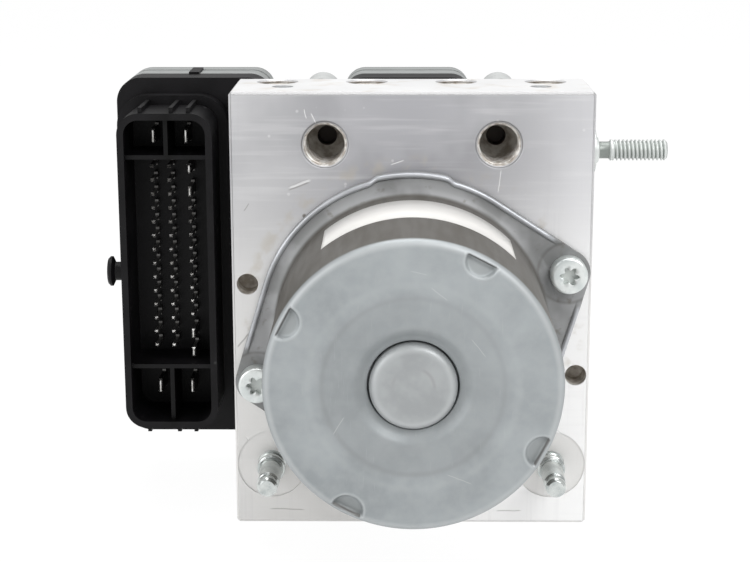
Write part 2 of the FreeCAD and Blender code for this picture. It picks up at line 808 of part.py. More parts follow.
# Motor field and rotor: four magnets in the can, a slotted core with its winding, and a commutator.
MAGNET_OUTER = "(can_radius - can_wall - close_fit)"
MAGNET_INNER = "(can_radius - can_wall - close_fit - magnet_thick)"
CORE_RADIUS = "(can_radius - can_wall - close_fit - magnet_thick - air_gap)"
CORE_END = "(" + BEARING_FLOOR + " - core_gap)"
CORE_LENGTH = "(" + CORE_END + " - core_start)"
MAGNET_LENGTH = "(" + CORE_END + " + winding_overhang - magnet_start)"
magnets = []
for i in range(int(size("magnet_count"))):
    sector = rod(MAGNET_OUTER, MAGNET_LENGTH, ("0", "0", "magnet_start"))
    sector.setExpression("Angle", bound("magnet_angle"))
    bore = rod(MAGNET_INNER, MAGNET_LENGTH + " + 2 * cutter_over", ("0", "0", "magnet_start - cutter_over"))
    magnets.append(place(cut(sector, [bore]), MOTOR, "front", i * 360 / size("magnet_count")))
node("magnets", group(magnets))

core_blank = rod(CORE_RADIUS, CORE_LENGTH, ("0", "0", "core_start"))
core_bore = rod("shaft_radius + close_fit", CORE_LENGTH + " + 2 * cutter_over",
                ("0", "0", "core_start - cutter_over"))
slots, bars = [], []
for i in range(int(size("slot_count"))):
    way = 360 / size("slot_count") * i
    slot = bar("can_radius", "slot_width", CORE_LENGTH + " + 2 * cutter_over",
               ("slot_floor", "-slot_width / 2", "core_start - cutter_over"))
    slots.append(place(group([slot]), turn=way))
    wire = bar(CORE_RADIUS + " - slot_floor - 2 * wire_clear", "slot_width - 2 * wire_clear",
               CORE_LENGTH + " + 2 * winding_overhang",
               ("slot_floor + wire_clear", "wire_clear - slot_width / 2", "core_start - winding_overhang"))
    bars.append(place(group([wire]), turn=way))
node("armature_core", place(cut(core_blank, slots + [core_bore]), MOTOR, "front"))
WIRE_RADIUS = CORE_RADIUS + " - 2 * wire_clear"
end_turns = [
    turned([("winding_inner", low), (WIRE_RADIUS, low, "winding_round"), (WIRE_RADIUS, high, "winding_round"),
            ("winding_inner", high)])
    for low, high in (("core_start - winding_overhang", "core_start - wire_clear"),
                      (CORE_END + " + wire_clear", CORE_END + " + winding_overhang"))]
node("armature_winding", place(union(bars + end_turns), MOTOR, "front"))
COMMUTATOR_END = "commutator_start + commutator_length"
node("commutator", turned(
    [("shaft_radius + close_fit", "commutator_start"), ("commutator_radius", "commutator_start"),
     ("commutator_radius", COMMUTATOR_END), ("shaft_radius + close_fit", COMMUTATOR_END)], MOTOR, "front"))

# Shaft in two bearings; its inner end carries the pin that stands off the axis and drives the pump.
PIN_START = "(-pump_depth + pin_length / 2)"
straight = turned(
    [("0", PIN_START), ("shaft_radius", PIN_START), ("shaft_radius", CAP_FLOOR + " - loose_fit"),
     ("0", CAP_FLOOR + " - loose_fit")])
drive_pin = rod("pin_radius", "pin_length", ("0", "pin_offset", "-pump_depth - pin_length / 2"))
node("motor_shaft", place(union([straight, drive_pin]), MOTOR, "front"))


def bearing(outer, start):
    """A sealed ball bearing: its end faces are set back between the inner and the outer ring."""
    end = "(" + start + " + bearing_width)"
    inner_rim = "shaft_radius + bearing_lip"
    outer_rim = outer + " - bearing_lip"
    return turned(
        [("shaft_radius + close_fit", start), (inner_rim, start), (inner_rim, start + " + loose_fit"),
         (outer_rim, start + " + loose_fit"), (outer_rim, start), (outer, start), (outer, end),
         (outer_rim, end), (outer_rim, end + " - loose_fit"), (inner_rim, end + " - loose_fit"),
         (inner_rim, end), ("shaft_radius + close_fit", end)], MOTOR, "front")


node("front_bearing", bearing("front_bearing_radius", "-register_depth"))
node("rear_bearing", bearing("rear_bearing_radius", BEARING_FLOOR + " + bearing_lip"))

# Brush holder: a moulded disc on a gasket, with a square tube for each brush and its spring.
HOLDER_TOP = "gasket_thick + holder_thick"
BRUSH_START = "commutator_radius + close_fit"
BRUSH_FLOOR = "(gasket_thick + holder_thick + brush_lift)"
TUBE_START = "(commutator_radius + 3 * brush_lift)"
TUBE_LENGTH = "(brush_length + brush_spring_room - 3 * brush_lift)"
node("motor_gasket", turned(
    [(CAN_INSIDE + " - gasket_width", "0"), (CAN_INSIDE + " - close_fit", "0"),
     (CAN_INSIDE + " - close_fit", "gasket_thick"), (CAN_INSIDE + " - gasket_width", "gasket_thick")],
    MOTOR, "front"))
disc = turned(
    [("holder_bore", "gasket_thick"), ("holder_radius", "gasket_thick"), ("holder_radius", HOLDER_TOP),
     ("holder_bore", HOLDER_TOP)])
tubes, tube_bores = [], []
for sign in SIDES.values():
    outer_x = TUBE_START if sign == "1" else "-" + TUBE_START + " - " + TUBE_LENGTH + " - tube_wall"
    inner_x = TUBE_START + " - cutter_over" if sign == "1" else "-" + TUBE_START + " - " + TUBE_LENGTH
    tubes.append(bar(TUBE_LENGTH + " + tube_wall", "brush_wide + 2 * (brush_lift + tube_wall)",
                     "brush_high + 2 * brush_lift + tube_wall",
                     (outer_x, "-brush_wide / 2 - brush_lift - tube_wall", HOLDER_TOP)))
    tube_bores.append(bar(
        TUBE_LENGTH + " + cutter_over", "brush_wide + 2 * brush_lift", "brush_high + 2 * brush_lift",
        (inner_x, "-brush_wide / 2 - brush_lift", HOLDER_TOP)))
node("brush_holder", place(cut(union([disc] + tubes), tube_bores), MOTOR, "front"))
for side, sign in SIDES.items():
    start = BRUSH_START if sign == "1" else "-(" + BRUSH_START + ") - brush_length"
    brush = bar("brush_length", "brush_wide", "brush_high", (start, "-brush_wide / 2", BRUSH_FLOOR))
    node("brush_" + side, place(group([brush]), MOTOR, "front"))
    node("brush_spring_" + side, coil_spring(
        "brush_high / 2 - wire_radius", "wire_radius", "spring_pitch",
        "(brush_spring_room - 2 * close_fit)",
        (sign + " * (" + BRUSH_START + " + brush_length + close_fit)",
         FRONT + " - " + BRUSH_FLOOR + " - brush_high / 2", MOTOR_Z), side))
blades = []
for sign in SIDES.values():
    blades.append(bar("terminal_thick", "board_y + block_thick / 2 + gasket_thick", "terminal_width",
                      (sign + " * terminal_spread - terminal_thick / 2", FRONT + " - gasket_thick",
                       MOTOR_Z + " + terminal_distance - terminal_width / 2")))
node("motor_terminals", group(blades))

# Pump: a ring on needle rollers runs on the off-axis pin and pushes two pistons outwards in turn.
RING_AXIS = ("0", FRONT + " + pump_depth", MOTOR_Z + " + pin_offset")
ROLLER_CIRCLE = "(pin_radius + roller_gap + roller_radius)"
RING_INNER = "(pin_radius + 2 * roller_gap + 2 * roller_radius)"
RING_OUTER = "(pin_radius + 2 * roller_gap + 2 * roller_radius + ring_wall)"
node("pump_ring", turned(
    [(RING_INNER, "-ring_width / 2"), (RING_OUTER, "-ring_width / 2"), (RING_OUTER, "ring_width / 2"),
     (RING_INNER, "ring_width / 2")], RING_AXIS, "front"))
rollers = []
for i in range(int(size("roller_count"))):
    way = "(%d * 360 / roller_count)" % i
    rollers.append(rod(
        "roller_radius", "roller_length",
        (ROLLER_CIRCLE + " * cos" + way, ROLLER_CIRCLE + " * sin" + way, "-roller_length / 2")))
node("needle_rollers", place(group(rollers), RING_AXIS, "front"))
PISTON_START = "(" + RING_OUTER + " + pin_offset + close_fit)"
PLUG_SHOULDER = "(block_width / 2 - plug_head - plug_sink)"
SLEEVE_END = "(" + PLUG_SHOULDER + " - plug_neck)"
PISTON_SEAT = "(" + SLEEVE_END + " - pump_spring_room - piston_head)"
for side in SIDES:
    pump = ("0", FRONT + " + pump_depth", MOTOR_Z)
    node("pump_piston_" + side, turned(
        [("0", PISTON_START), ("piston_radius", PISTON_START, "block_edge"), ("piston_radius", PISTON_SEAT),
         ("piston_head_radius", PISTON_SEAT), ("piston_head_radius", PISTON_SEAT + " + piston_head"),
         ("0", PISTON_SEAT + " + piston_head")], pump, side))
    node("pump_sleeve_" + side, turned(
        [("piston_radius + close_fit", "sleeve_start"), ("sleeve_radius - close_fit", "sleeve_start"),
         ("sleeve_radius - close_fit", SLEEVE_END), ("piston_head_radius + loose_fit", SLEEVE_END),
         ("piston_head_radius + loose_fit", PISTON_SEAT + " - close_fit"),
         ("piston_radius + close_fit", PISTON_SEAT + " - close_fit")], pump, side))
    node("pump_spring_" + side, coil_spring(
        "spring_radius", "wire_radius", "spring_pitch",
        "(pump_spring_room - 2 * close_fit)",
        (SIDES[side] + " * (" + PISTON_SEAT + " + piston_head + close_fit)",
         FRONT + " + pump_depth", MOTOR_Z), side))
    node("pump_plug_" + side, turned(
        [("0", SLEEVE_END), ("sleeve_radius - close_fit", SLEEVE_END),
         ("sleeve_radius - close_fit", PLUG_SHOULDER), ("plug_radius - close_fit", PLUG_SHOULDER),
         ("plug_radius - close_fit", "block_width / 2 - plug_sink"),
         ("plug_hex_radius", "block_width / 2 - plug_sink"),
         ("plug_hex_radius", "block_width / 2 - plug_sink - plug_hex_depth"),
         ("0", "block_width / 2 - plug_sink - plug_hex_depth")], pump, side))

# Low-pressure accumulators: a cup piston over a spring, closed by a cap set into the underside.
CAP_INSIDE = "(store_cap_sink + store_cap_thick)"
STORE_FLOOR = "(store_depth - close_fit - store_piston_length)"
for side, sign in SIDES.items():
    store = (sign + " * store_x", "0", "0")
    node("accumulator_cap_" + side, turned(
        [("0", "store_cap_sink"), ("store_cap_radius - close_fit", "store_cap_sink"),
         ("store_cap_radius - close_fit", CAP_INSIDE), ("0", CAP_INSIDE)], store, "up"))
    node("accumulator_piston_" + side, turned(
        [("0", STORE_FLOOR + " + store_piston_length - store_wall"),
         ("store_radius - close_fit - store_wall", STORE_FLOOR + " + store_piston_length - store_wall"),
         ("store_radius - close_fit - store_wall", STORE_FLOOR), ("store_radius - close_fit", STORE_FLOOR),
         ("store_radius - close_fit", STORE_FLOOR + " + store_piston_length"),
         ("0", STORE_FLOOR + " + store_piston_length")], store, "up"))
    node("accumulator_spring_" + side, coil_spring(
        "store_spring_radius", "store_wire_radius", "store_spring_pitch",
        "(" + STORE_FLOOR + " + store_piston_length - store_wall - " + CAP_INSIDE + " - 2 * close_fit)",
        (sign + " * store_x", "0", CAP_INSIDE + " + close_fit"), "up"))

# Solenoid valves, staked into the back: the body ends in a thin dome that holds the plunger, and a coil
# slips over each dome. The upper row feeds the wheels and the lower row releases them.
CAVITY = "(dome_radius - dome_wall)"
coils = []
for row, z in (("inlet", VALVE_HIGH), ("outlet", VALVE_LOW)):
    for number, x in enumerate(VALVE_XS, start=1):
        bore = (x, BACK, z)
        node("%s_valve_%d" % (row, number), turned(
            [("valve_channel", "-valve_depth - valve_nose + block_edge"),
             ("valve_nose_radius - close_fit", "-valve_depth - valve_nose + block_edge"),
             ("valve_nose_radius - close_fit", "-valve_depth"), ("valve_radius - close_fit", "-valve_depth"),
             ("valve_radius - close_fit", "valve_collar"), ("dome_radius", "valve_collar"),
             ("dome_radius", "dome_length", "dome_wall * 2"), ("0", "dome_length"),
             ("0", "dome_length - 2 * dome_wall"), (CAVITY, "dome_length - 2 * dome_wall"),
             (CAVITY, "plunger_start - needle_length - loose_fit"),
             ("valve_channel", "plunger_start - needle_length - loose_fit")], bore, "back"))
        node("%s_plunger_%d" % (row, number), turned(
            [("0", "plunger_start - needle_length"), ("valve_channel", "plunger_start - needle_length"),
             ("valve_channel", "plunger_start"), (CAVITY + " - plunger_fit", "plunger_start"),
             (CAVITY + " - plunger_fit", "plunger_start + plunger_length"),
             ("0", "plunger_start + plunger_length")], bore, "back"))
        coil_end = "(coil_start + coil_length)"
        coils.append(turned(
            [("dome_radius + coil_fit", "coil_start"), ("coil_radius", "coil_start"),
             ("coil_radius", "coil_start + coil_flange"),
             ("coil_radius - coil_groove", "coil_start + coil_flange"),
             ("coil_radius - coil_groove", coil_end + " - coil_flange"),
             ("coil_radius", coil_end + " - coil_flange"), ("coil_radius", coil_end),
             ("dome_radius + coil_fit", coil_end)], bore, "back"))
node("valve_coils", group(coils))

# Connector pins: square pins in three columns, four wider tabs and four large blades, all of them
# straight through the connector floor to the circuit board.
PIN_LENGTH = "board_y + pin_tip"


def beside(text):
    """A distance to the left of the block's left side, counted from the block's middle."""
    return "(block_width / 2 + " + text + ")"


def contact(x, z, width):
    return bar("pin_side", PIN_LENGTH, width,
               ("-" + beside(x) + " - pin_side / 2", "-pin_tip", raised(z) + " - " + width + " / 2"))


contacts = []
for i in range(int(size("pin_rows"))):
    z = "pin_low_z + %d * pin_pitch" % i
    contacts += [contact("pin_first", z, "pin_side"), contact("pin_second", z, "pin_side")]
for i in range(int(size("short_rows"))):
    contacts.append(contact("pin_third", "short_low_z + %d * short_pitch" % i, "pin_side"))
for z in ("tab_top_z", "tab_second_z", "tab_third_z", "tab_low_z"):
    contacts.append(contact("pin_third", z, "tab_width"))
contacts += [contact(x, z, "blade_width") for x in ("blade_left", "blade_right")
             for z in ("blade_high_z", "blade_low_z")]
node("connector_pins", group(contacts))

# Control unit housing, one moulding: a shallow tray behind the block, the connector shroud beside it, and
# bosses for the screws. Its sketches lie in the plane where housing and cover meet and look forwards.
SPLIT = ("0", "unit_split", "0")
FACE = "(unit_split - block_thick / 2)"


UNIT_LEFT, UNIT_RIGHT = beside("unit_left"), "(block_width / 2)"
UNIT_LOW, UNIT_TOP, UNIT_DIP = raised("0"), raised("unit_top"), raised("unit_dip")


def unit_outline(inset):
    """The outline of housing and cover: two humps on top, set in by one value all round."""
    low, dip, top = UNIT_LOW + " + " + inset, UNIT_DIP + " - " + inset, UNIT_TOP + " - " + inset
    corner, hump = "unit_corner - " + inset, "hump_round - " + inset
    return [
        ("-" + UNIT_LEFT + " + " + inset, low, corner), (UNIT_RIGHT + " - " + inset, low, corner),
        (UNIT_RIGHT + " - " + inset, dip, corner), ("hump_mid_right_foot - " + inset, dip, "foot_round"),
        ("hump_mid_right_top - " + inset, top, hump), ("-hump_mid_left_top + " + inset, top, hump),
        ("-hump_mid_left_foot + " + inset, dip, "foot_round"),
        ("-hump_left_foot - " + inset, dip, "foot_round"), ("-hump_left_top - " + inset, top, hump),
        ("-" + UNIT_LEFT + " + " + inset, top, corner)]


RIM_HEIGHT = "(" + FACE + " + plug_reach)"
FLOOR_HEIGHT = "(unit_split - plug_floor_y)"
tray = new_body(SPLIT, "front")
pad(tray, [unit_outline("0")], FACE)
PLUG_LEFT, PLUG_RIGHT = "-" + beside("plug_left"), "-" + beside("plug_right")
PLUG_LOW, PLUG_HIGH = raised("plug_low"), raised("plug_high")
pad(tray, [rectangle(PLUG_LEFT + " - skirt", PLUG_RIGHT + " + skirt", PLUG_LOW + " - skirt",
                     PLUG_HIGH + " + skirt", "plug_corner + skirt")], FACE + " + skirt_height")
pad(tray, [rectangle(PLUG_LEFT, PLUG_RIGHT, PLUG_LOW, PLUG_HIGH, "plug_corner")], RIM_HEIGHT)
for rib in ("rib_first", "rib_second", "rib_third"):
    sides = ("-" + beside(rib) + " - rib_width / 2", "-" + beside(rib) + " + rib_width / 2")
    pad(tray, [rectangle(*sides, PLUG_LOW + " - rib_height", PLUG_LOW + " + rib_height"),
               rectangle(*sides, PLUG_HIGH + " - rib_height", PLUG_HIGH + " + rib_height")],
        RIM_HEIGHT + " - rib_back")
pocket(tray, [unit_outline("unit_wall")], FACE + " - unit_floor", upwards=True)
IN_LEFT, IN_RIGHT = PLUG_LEFT + " + plug_wall", PLUG_RIGHT + " - plug_wall"
IN_LOW, IN_HIGH = PLUG_LOW + " + plug_wall", PLUG_HIGH + " - plug_wall"
IN_ROUND = "plug_corner - plug_wall"
pocket(tray, [rectangle(IN_LEFT, IN_RIGHT, IN_LOW, IN_HIGH, IN_ROUND)], "plug_rim", RIM_HEIGHT)
LEFT_STOP = "-" + beside("divider_x") + " - divider / 2"
RIGHT_START = "-" + beside("divider_x") + " + divider / 2"
LOW_STOP, HIGH_STOP = raised("divider_low"), raised("divider_high")
chambers = [
    [(IN_LEFT, IN_LOW, IN_ROUND), (LEFT_STOP, IN_LOW), (LEFT_STOP, LOW_STOP + " - divider / 2"),
     (IN_LEFT, LOW_STOP + " - divider / 2")],
    [(RIGHT_START, IN_LOW), (IN_RIGHT, IN_LOW, IN_ROUND), (IN_RIGHT, LOW_STOP + " - divider / 2"),
     (RIGHT_START, LOW_STOP + " - divider / 2")],
    rectangle(IN_LEFT, IN_RIGHT, LOW_STOP + " + divider / 2", HIGH_STOP + " - divider / 2"),
    [(IN_LEFT, HIGH_STOP + " + divider / 2"), (LEFT_STOP, HIGH_STOP + " + divider / 2"),
     (LEFT_STOP, IN_HIGH), (IN_LEFT, IN_HIGH, IN_ROUND)],
    [(RIGHT_START, HIGH_STOP + " + divider / 2"), (IN_RIGHT, HIGH_STOP + " + divider / 2"),
     (IN_RIGHT, IN_HIGH, IN_ROUND), (RIGHT_START, IN_HIGH)]]
pocket(tray, chambers, RIM_HEIGHT + " - " + FLOOR_HEIGHT, RIM_HEIGHT)
# The posts hold the board; the bosses take the two lower screws.
POST_LOW = UNIT_LOW + " + unit_wall + 2 * board_post_radius"
POST_RIGHT = UNIT_RIGHT + " - unit_wall - 2 * board_post_radius"
POSTS = [("-" + UNIT_LEFT + " + unit_wall + 2 * board_post_radius", POST_LOW), (POST_RIGHT, POST_LOW),
         (POST_RIGHT, UNIT_DIP + " - unit_wall - 2 * board_post_radius"), ("0", POST_LOW)]
pad(tray, [], FACE + " - unit_floor / 2 + board_y - unit_split", "unit_split - board_y",
    rings=[(x, z, "board_post_radius") for x, z in POSTS])
pad(tray, [], FACE, rings=[(x, z, "boss_radius") for x, z in UNIT_SCREWS[2:]])
pocket(tray, [], "2 * unit_floor", FACE + " + cutter_over",
       rings=[(x, z, "dome_hole") for x in VALVE_XS for z in (VALVE_LOW, VALVE_HIGH)]
       + [("0", MOTOR_Z + " + terminal_distance", "terminal_hole_radius")])
pocket(tray, [], FACE + " + 2 * cutter_over", FACE + " + cutter_over",
       rings=[(x, z, "unit_screw_hole") for x, z in UNIT_SCREWS[2:]])
SEAL_OUT, SEAL_IN = "(loose_fit / 2)", "(seal_width + loose_fit / 2)"
SEAL_SIDE = "(block_width / 2 - seal_edge)"
SEAL_LOW, SEAL_HIGH = raised("seal_low"), raised("seal_high")
seal_groove_rings = [
    rectangle("-" + SEAL_SIDE + " - " + SEAL_OUT, SEAL_SIDE + " + " + SEAL_OUT, SEAL_LOW + " - " + SEAL_OUT,
              SEAL_HIGH + " + " + SEAL_OUT, "unit_corner"),
    rectangle("-" + SEAL_SIDE + " + " + SEAL_IN, SEAL_SIDE + " - " + SEAL_IN, SEAL_LOW + " + " + SEAL_IN,
              SEAL_HIGH + " - " + SEAL_IN, "unit_corner - seal_width - loose_fit")]
pocket(tray, seal_groove_rings, "seal_depth", FACE)
KNOB_SIDE = "(plug_wall + knob_neck + knob_cone)"
knob = turned(
    [("0", "0"), ("knob_neck_radius", "0"), ("knob_neck_radius", "plug_wall + knob_neck"),
     ("knob_head_radius", KNOB_SIDE), ("knob_head_radius", KNOB_SIDE + " + knob_head"),
     ("knob_head_radius - knob_taper", KNOB_SIDE + " + knob_head + knob_taper"),
     ("0", KNOB_SIDE + " + knob_head + knob_taper")],
    (PLUG_LEFT + " + plug_wall", "-knob_y", raised("knob_z")), "left")
clips = [
    bar("clip_width", "clip_reach + clip_thick", "clip_thick",
        ("-" + beside("clip_x") + " - clip_width / 2", "unit_split - clip_thick", z + " - clip_thick / 2"))
    for z in (UNIT_TOP, UNIT_LOW)]
whole_tray = union([tray, knob] + clips)
tray_pins = group(contacts)
node("ecu_housing", cut(whole_tray, [tray_pins]))

# Seal between the housing and the back of the block.
seal = new_body(("0", BACK, "0"), "back")
seal_body_rings = [
    [(x, "-(" + z + ")", r) for x, z, r in ring] for ring in (
        rectangle("-" + SEAL_SIDE, SEAL_SIDE, SEAL_LOW, SEAL_HIGH, "unit_corner"),
        rectangle("-" + SEAL_SIDE + " + seal_width", SEAL_SIDE + " - seal_width", SEAL_LOW + " + seal_width",
                  SEAL_HIGH + " - seal_width", "unit_corner - seal_width"))]
pad(seal, seal_body_rings, "seal_depth")
node("ecu_seal", seal)

# Cover, an aluminium casting: a shell with the housing's outline, a groove all round, rounded back edges
# and lugs for the two upper screws.
COVER_DEPTH = "(unit_back - unit_split)"
lid = new_body(("0", "unit_split", "0"), "back")


def seen_from_behind(corners):
    """The same outline in sketches whose second axis points down."""
    return [(corner[0], "-(" + corner[1] + ")") + tuple(corner[2:]) for corner in corners]


GROOVE_START = "(cover_groove_start - unit_split)"
pad(lid, [seen_from_behind(unit_outline("0"))], GROOVE_START)
pad(lid, [seen_from_behind(unit_outline("cover_groove_depth"))], COVER_DEPTH)
pad(lid, [seen_from_behind(unit_outline("0"))],
    COVER_DEPTH + " - " + GROOVE_START + " - cover_groove_width", GROOVE_START + " + cover_groove_width")
doc.recompute()
back_plane = [
    "Edge%d" % (i + 1) for i, edge in enumerate(lid.Tip.Shape.Edges)
    if all(abs(vertex.Z - size(COVER_DEPTH)) < 1e-6 for vertex in edge.Vertexes)]
rounded = lid.newObject("PartDesign::Fillet", "rounded_back")
rounded.Base = (lid.Group[-2], back_plane)
rounded.setExpression("Radius", bound("cover_round"))
doc.recompute()
pocket(lid, [seen_from_behind(unit_outline("unit_wall"))], COVER_DEPTH + " - unit_wall", upwards=True)
pad(lid, [], COVER_DEPTH + " - cover_round", rings=[
    (x, "-(" + z + ")", "lug_radius") for x, z in UNIT_SCREWS[:2]])
pad(lid, [], COVER_DEPTH + " - unit_wall / 2", rings=[
    (x, "-(" + z + ")", "boss_radius") for x, z in UNIT_SCREWS[2:]])
pocket(lid, [], COVER_DEPTH + " + 2 * cutter_over", COVER_DEPTH + " + cutter_over",
       rings=[(x, "-(" + z + ")", "unit_screw_hole") for x, z in UNIT_SCREWS])
pocket(lid, [], "unit_screw_head + cover_round + cutter_over", COVER_DEPTH + " + cutter_over",
       rings=[(x, "-(" + z + ")", "unit_screw_head_radius + loose_fit") for x, z in UNIT_SCREWS])
notches = [
    bar("clip_width + 2 * clip_gap", "clip_reach + clip_gap", "clip_thick + clip_gap + cutter_over",
        ("-" + beside("clip_x") + " - clip_width / 2 - clip_gap", "unit_split", z))
    for z in (UNIT_TOP + " - clip_thick / 2 - clip_gap", UNIT_LOW + " - clip_thick / 2 - cutter_over")]
node("ecu_cover", cut(lid, notches))

# Screws of the control unit: through cover and housing into the block.
HEAD_SEAT = "(unit_back - block_thick / 2 - unit_screw_head - cover_round)"
unit_screws = []
for x, z in UNIT_SCREWS:
    unit_screws.append(turned(
        [("0", "-unit_screw_depth"), ("unit_screw_radius", "-unit_screw_depth"),
         ("unit_screw_radius", HEAD_SEAT), ("unit_screw_head_radius", HEAD_SEAT),
         ("unit_screw_head_radius", HEAD_SEAT + " + unit_screw_head", "block_edge"),
         ("0", HEAD_SEAT + " + unit_screw_head")], (x, BACK, z), "back"))
node("ecu_screws", group(unit_screws))

# Circuit board on the posts, with its processor and two smoothing capacitors.
board = new_body(("0", "board_y", "0"), "back")
EDGE = "(unit_wall + board_gap)"
BOARD_CUT = UNIT_DIP + " - " + EDGE
pad(board, [seen_from_behind(
    [("-" + UNIT_LEFT + " + " + EDGE, UNIT_LOW + " + " + EDGE, "unit_corner"),
     (UNIT_RIGHT + " - " + EDGE, UNIT_LOW + " + " + EDGE, "unit_corner"),
     (UNIT_RIGHT + " - " + EDGE, BOARD_CUT, "unit_corner"),
     ("-hump_left_foot - " + EDGE, BOARD_CUT), ("-hump_left_top - 2 * " + EDGE, UNIT_TOP + " - 2 * " + EDGE),
     ("-" + UNIT_LEFT + " + " + EDGE, UNIT_TOP + " - 2 * " + EDGE, "unit_corner")])], "board_thick",
    rings=[(x, "-(" + z + ")", "boss_radius + board_gap") for x, z in UNIT_SCREWS[2:]])
pad(board, [rectangle("-chip_side / 2", "chip_side / 2", "-" + MOTOR_Z + " - chip_side / 2",
                      "-" + MOTOR_Z + " + chip_side / 2")], "board_thick + chip_thick")
pad(board, [], "board_thick + can_cap_height", rings=[
    (sign + " * " + VALVE_OUTER, "-" + MOTOR_Z, "can_cap_radius") for sign in SIDES.values()])
node("circuit_board", board)

doc.recompute()
for thing in doc.Objects:
    if {"Invalid", "Error"} & set(thing.State):
        raise RuntimeError("%s failed: %s" % (thing.Name, thing.State))
os.makedirs("parts", exist_ok=True)
for thing in nodes:
    if thing.Shape.isNull() or not thing.Shape.isValid():
        raise RuntimeError("%s has no valid shape" % thing.Label)
for thing in nodes:
    thing.Shape.exportStep("parts/%s.step" % thing.Label)
print(len(nodes), "pieces written")
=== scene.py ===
import math

import bmesh
import bpy
import numpy as np
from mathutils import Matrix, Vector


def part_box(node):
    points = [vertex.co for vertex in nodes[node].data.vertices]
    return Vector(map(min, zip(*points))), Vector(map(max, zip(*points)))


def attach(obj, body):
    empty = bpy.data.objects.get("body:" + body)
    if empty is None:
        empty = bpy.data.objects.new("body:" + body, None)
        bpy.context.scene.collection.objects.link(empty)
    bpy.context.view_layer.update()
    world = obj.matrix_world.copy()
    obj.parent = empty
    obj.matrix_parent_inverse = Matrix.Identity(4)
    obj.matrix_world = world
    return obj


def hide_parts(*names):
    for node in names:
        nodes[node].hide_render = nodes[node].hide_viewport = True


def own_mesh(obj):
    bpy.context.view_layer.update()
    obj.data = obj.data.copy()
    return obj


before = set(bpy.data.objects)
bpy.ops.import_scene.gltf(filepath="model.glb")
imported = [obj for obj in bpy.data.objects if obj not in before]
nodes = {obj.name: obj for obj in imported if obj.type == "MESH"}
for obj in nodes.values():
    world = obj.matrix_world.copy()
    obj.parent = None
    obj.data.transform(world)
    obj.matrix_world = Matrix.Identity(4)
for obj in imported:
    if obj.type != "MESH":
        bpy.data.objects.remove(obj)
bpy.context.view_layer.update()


# Hydraulic block. An extruded aluminium bar, sawn to length and fly-cut on every side, so that its faces
# carry faint tool marks, a cloudy bloom and the scratches of handling. Dried preservative oil browns the
# drillings, and a turned spot face surrounds each front stud.
MM = 0.001
BLOCK_LOW, BLOCK_HIGH = (np.array(corner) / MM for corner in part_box("hydraulic_block"))
FRONT, TOP = BLOCK_LOW[1], BLOCK_HIGH[2]
MOTOR_Z = 58.4
INLET_X, INLET_Z, INLET_RADIUS = 23.8, 109.6, 6.0
OUTLET_PITCH, OUTLET_Y, OUTLET_RADIUS = 25.4, 8.4, 5.5
PASSAGE_RADIUS, PASSAGE_START = 2.5, 13.0
STUD_X, STUD_Z, SPOT_RADIUS = 39.6, 17.7, 9.8
LOCATING_HOLES, LOCATING_RADIUS = ((-45.7, 70.4), (46.2, 44.2)), 3.0

# Where each scratch on the front starts and ends, and its width: the fresh ones show bright metal, the old
# ones have taken up dirt.
FRESH_SCRATCHES = (((-34, 97.5), (-27.5, 100), 0.5), ((-27.6, 118.5), (-25.6, 114.2), 0.22),
                   ((-29.5, 119.5), (-28.8, 116.6), 0.2), ((24.5, 103), (23.6, 96), 0.2),
                   ((39, 30), (45.5, 24), 0.25), ((-47, 26), (-43.5, 20.5), 0.3),
                   ((-6, 104), (-2, 105.4), 0.22))
OLD_SCRATCHES = (((-34.2, 96.8), (-27.8, 99.3), 0.35), ((-49, 52), (-45.5, 56.5), 0.3),
                 ((-47.6, 20.6), (-43.9, 20.2), 0.3), ((-33.5, 13.6), (-29.5, 15.2), 0.25),
                 ((-41, 4.2), (-30, 3.9), 0.2), ((24, 3.6), (32, 3.8), 0.18),
                 ((-46.4, 91), (-44.8, 93.4), 0.2))


class Value:
    """One output of a shader node; + - * / and ** between Values and numbers add a Math node."""

    def __init__(self, finish, socket):
        self.finish, self.socket = finish, socket

    def math(self, operation, *terms):
        return self.finish.add("Math", {"operation": operation}, dict(enumerate(terms)))

    def __add__(self, other):
        return self.math("ADD", self, other)

    def __sub__(self, other):
        return self.math("SUBTRACT", self, other)

    def __mul__(self, other):
        return self.math("MULTIPLY", self, other)

    def __truediv__(self, other):
        return self.math("DIVIDE", self, other)

    def __pow__(self, other):
        return self.math("POWER", self, other)

    def __rsub__(self, other):
        return self.math("SUBTRACT", other, self)

    def __abs__(self):
        return self.math("ABSOLUTE", self)

    __radd__, __rmul__ = __add__, __mul__

    def rise(self, low, high):
        """0 at low and 1 at high with a soft start and stop; low may be the larger of the two."""
        return self.finish.add("MapRange", {"interpolation_type": "SMOOTHSTEP"},
                               {"Value": self, "From Min": low, "From Max": high})

    def near(self, middle, reach):
        """1 where the value is at the middle and 0 where it is further away than the reach."""
        return abs(self - middle).rise(reach, 0)

    def mixed(self, share, colour):
        return self.finish.mix(share, self, colour)

    def capped(self):
        return self.math("MINIMUM", self, 1.0)

    def wave(self):
        return self.math("SINE", self)


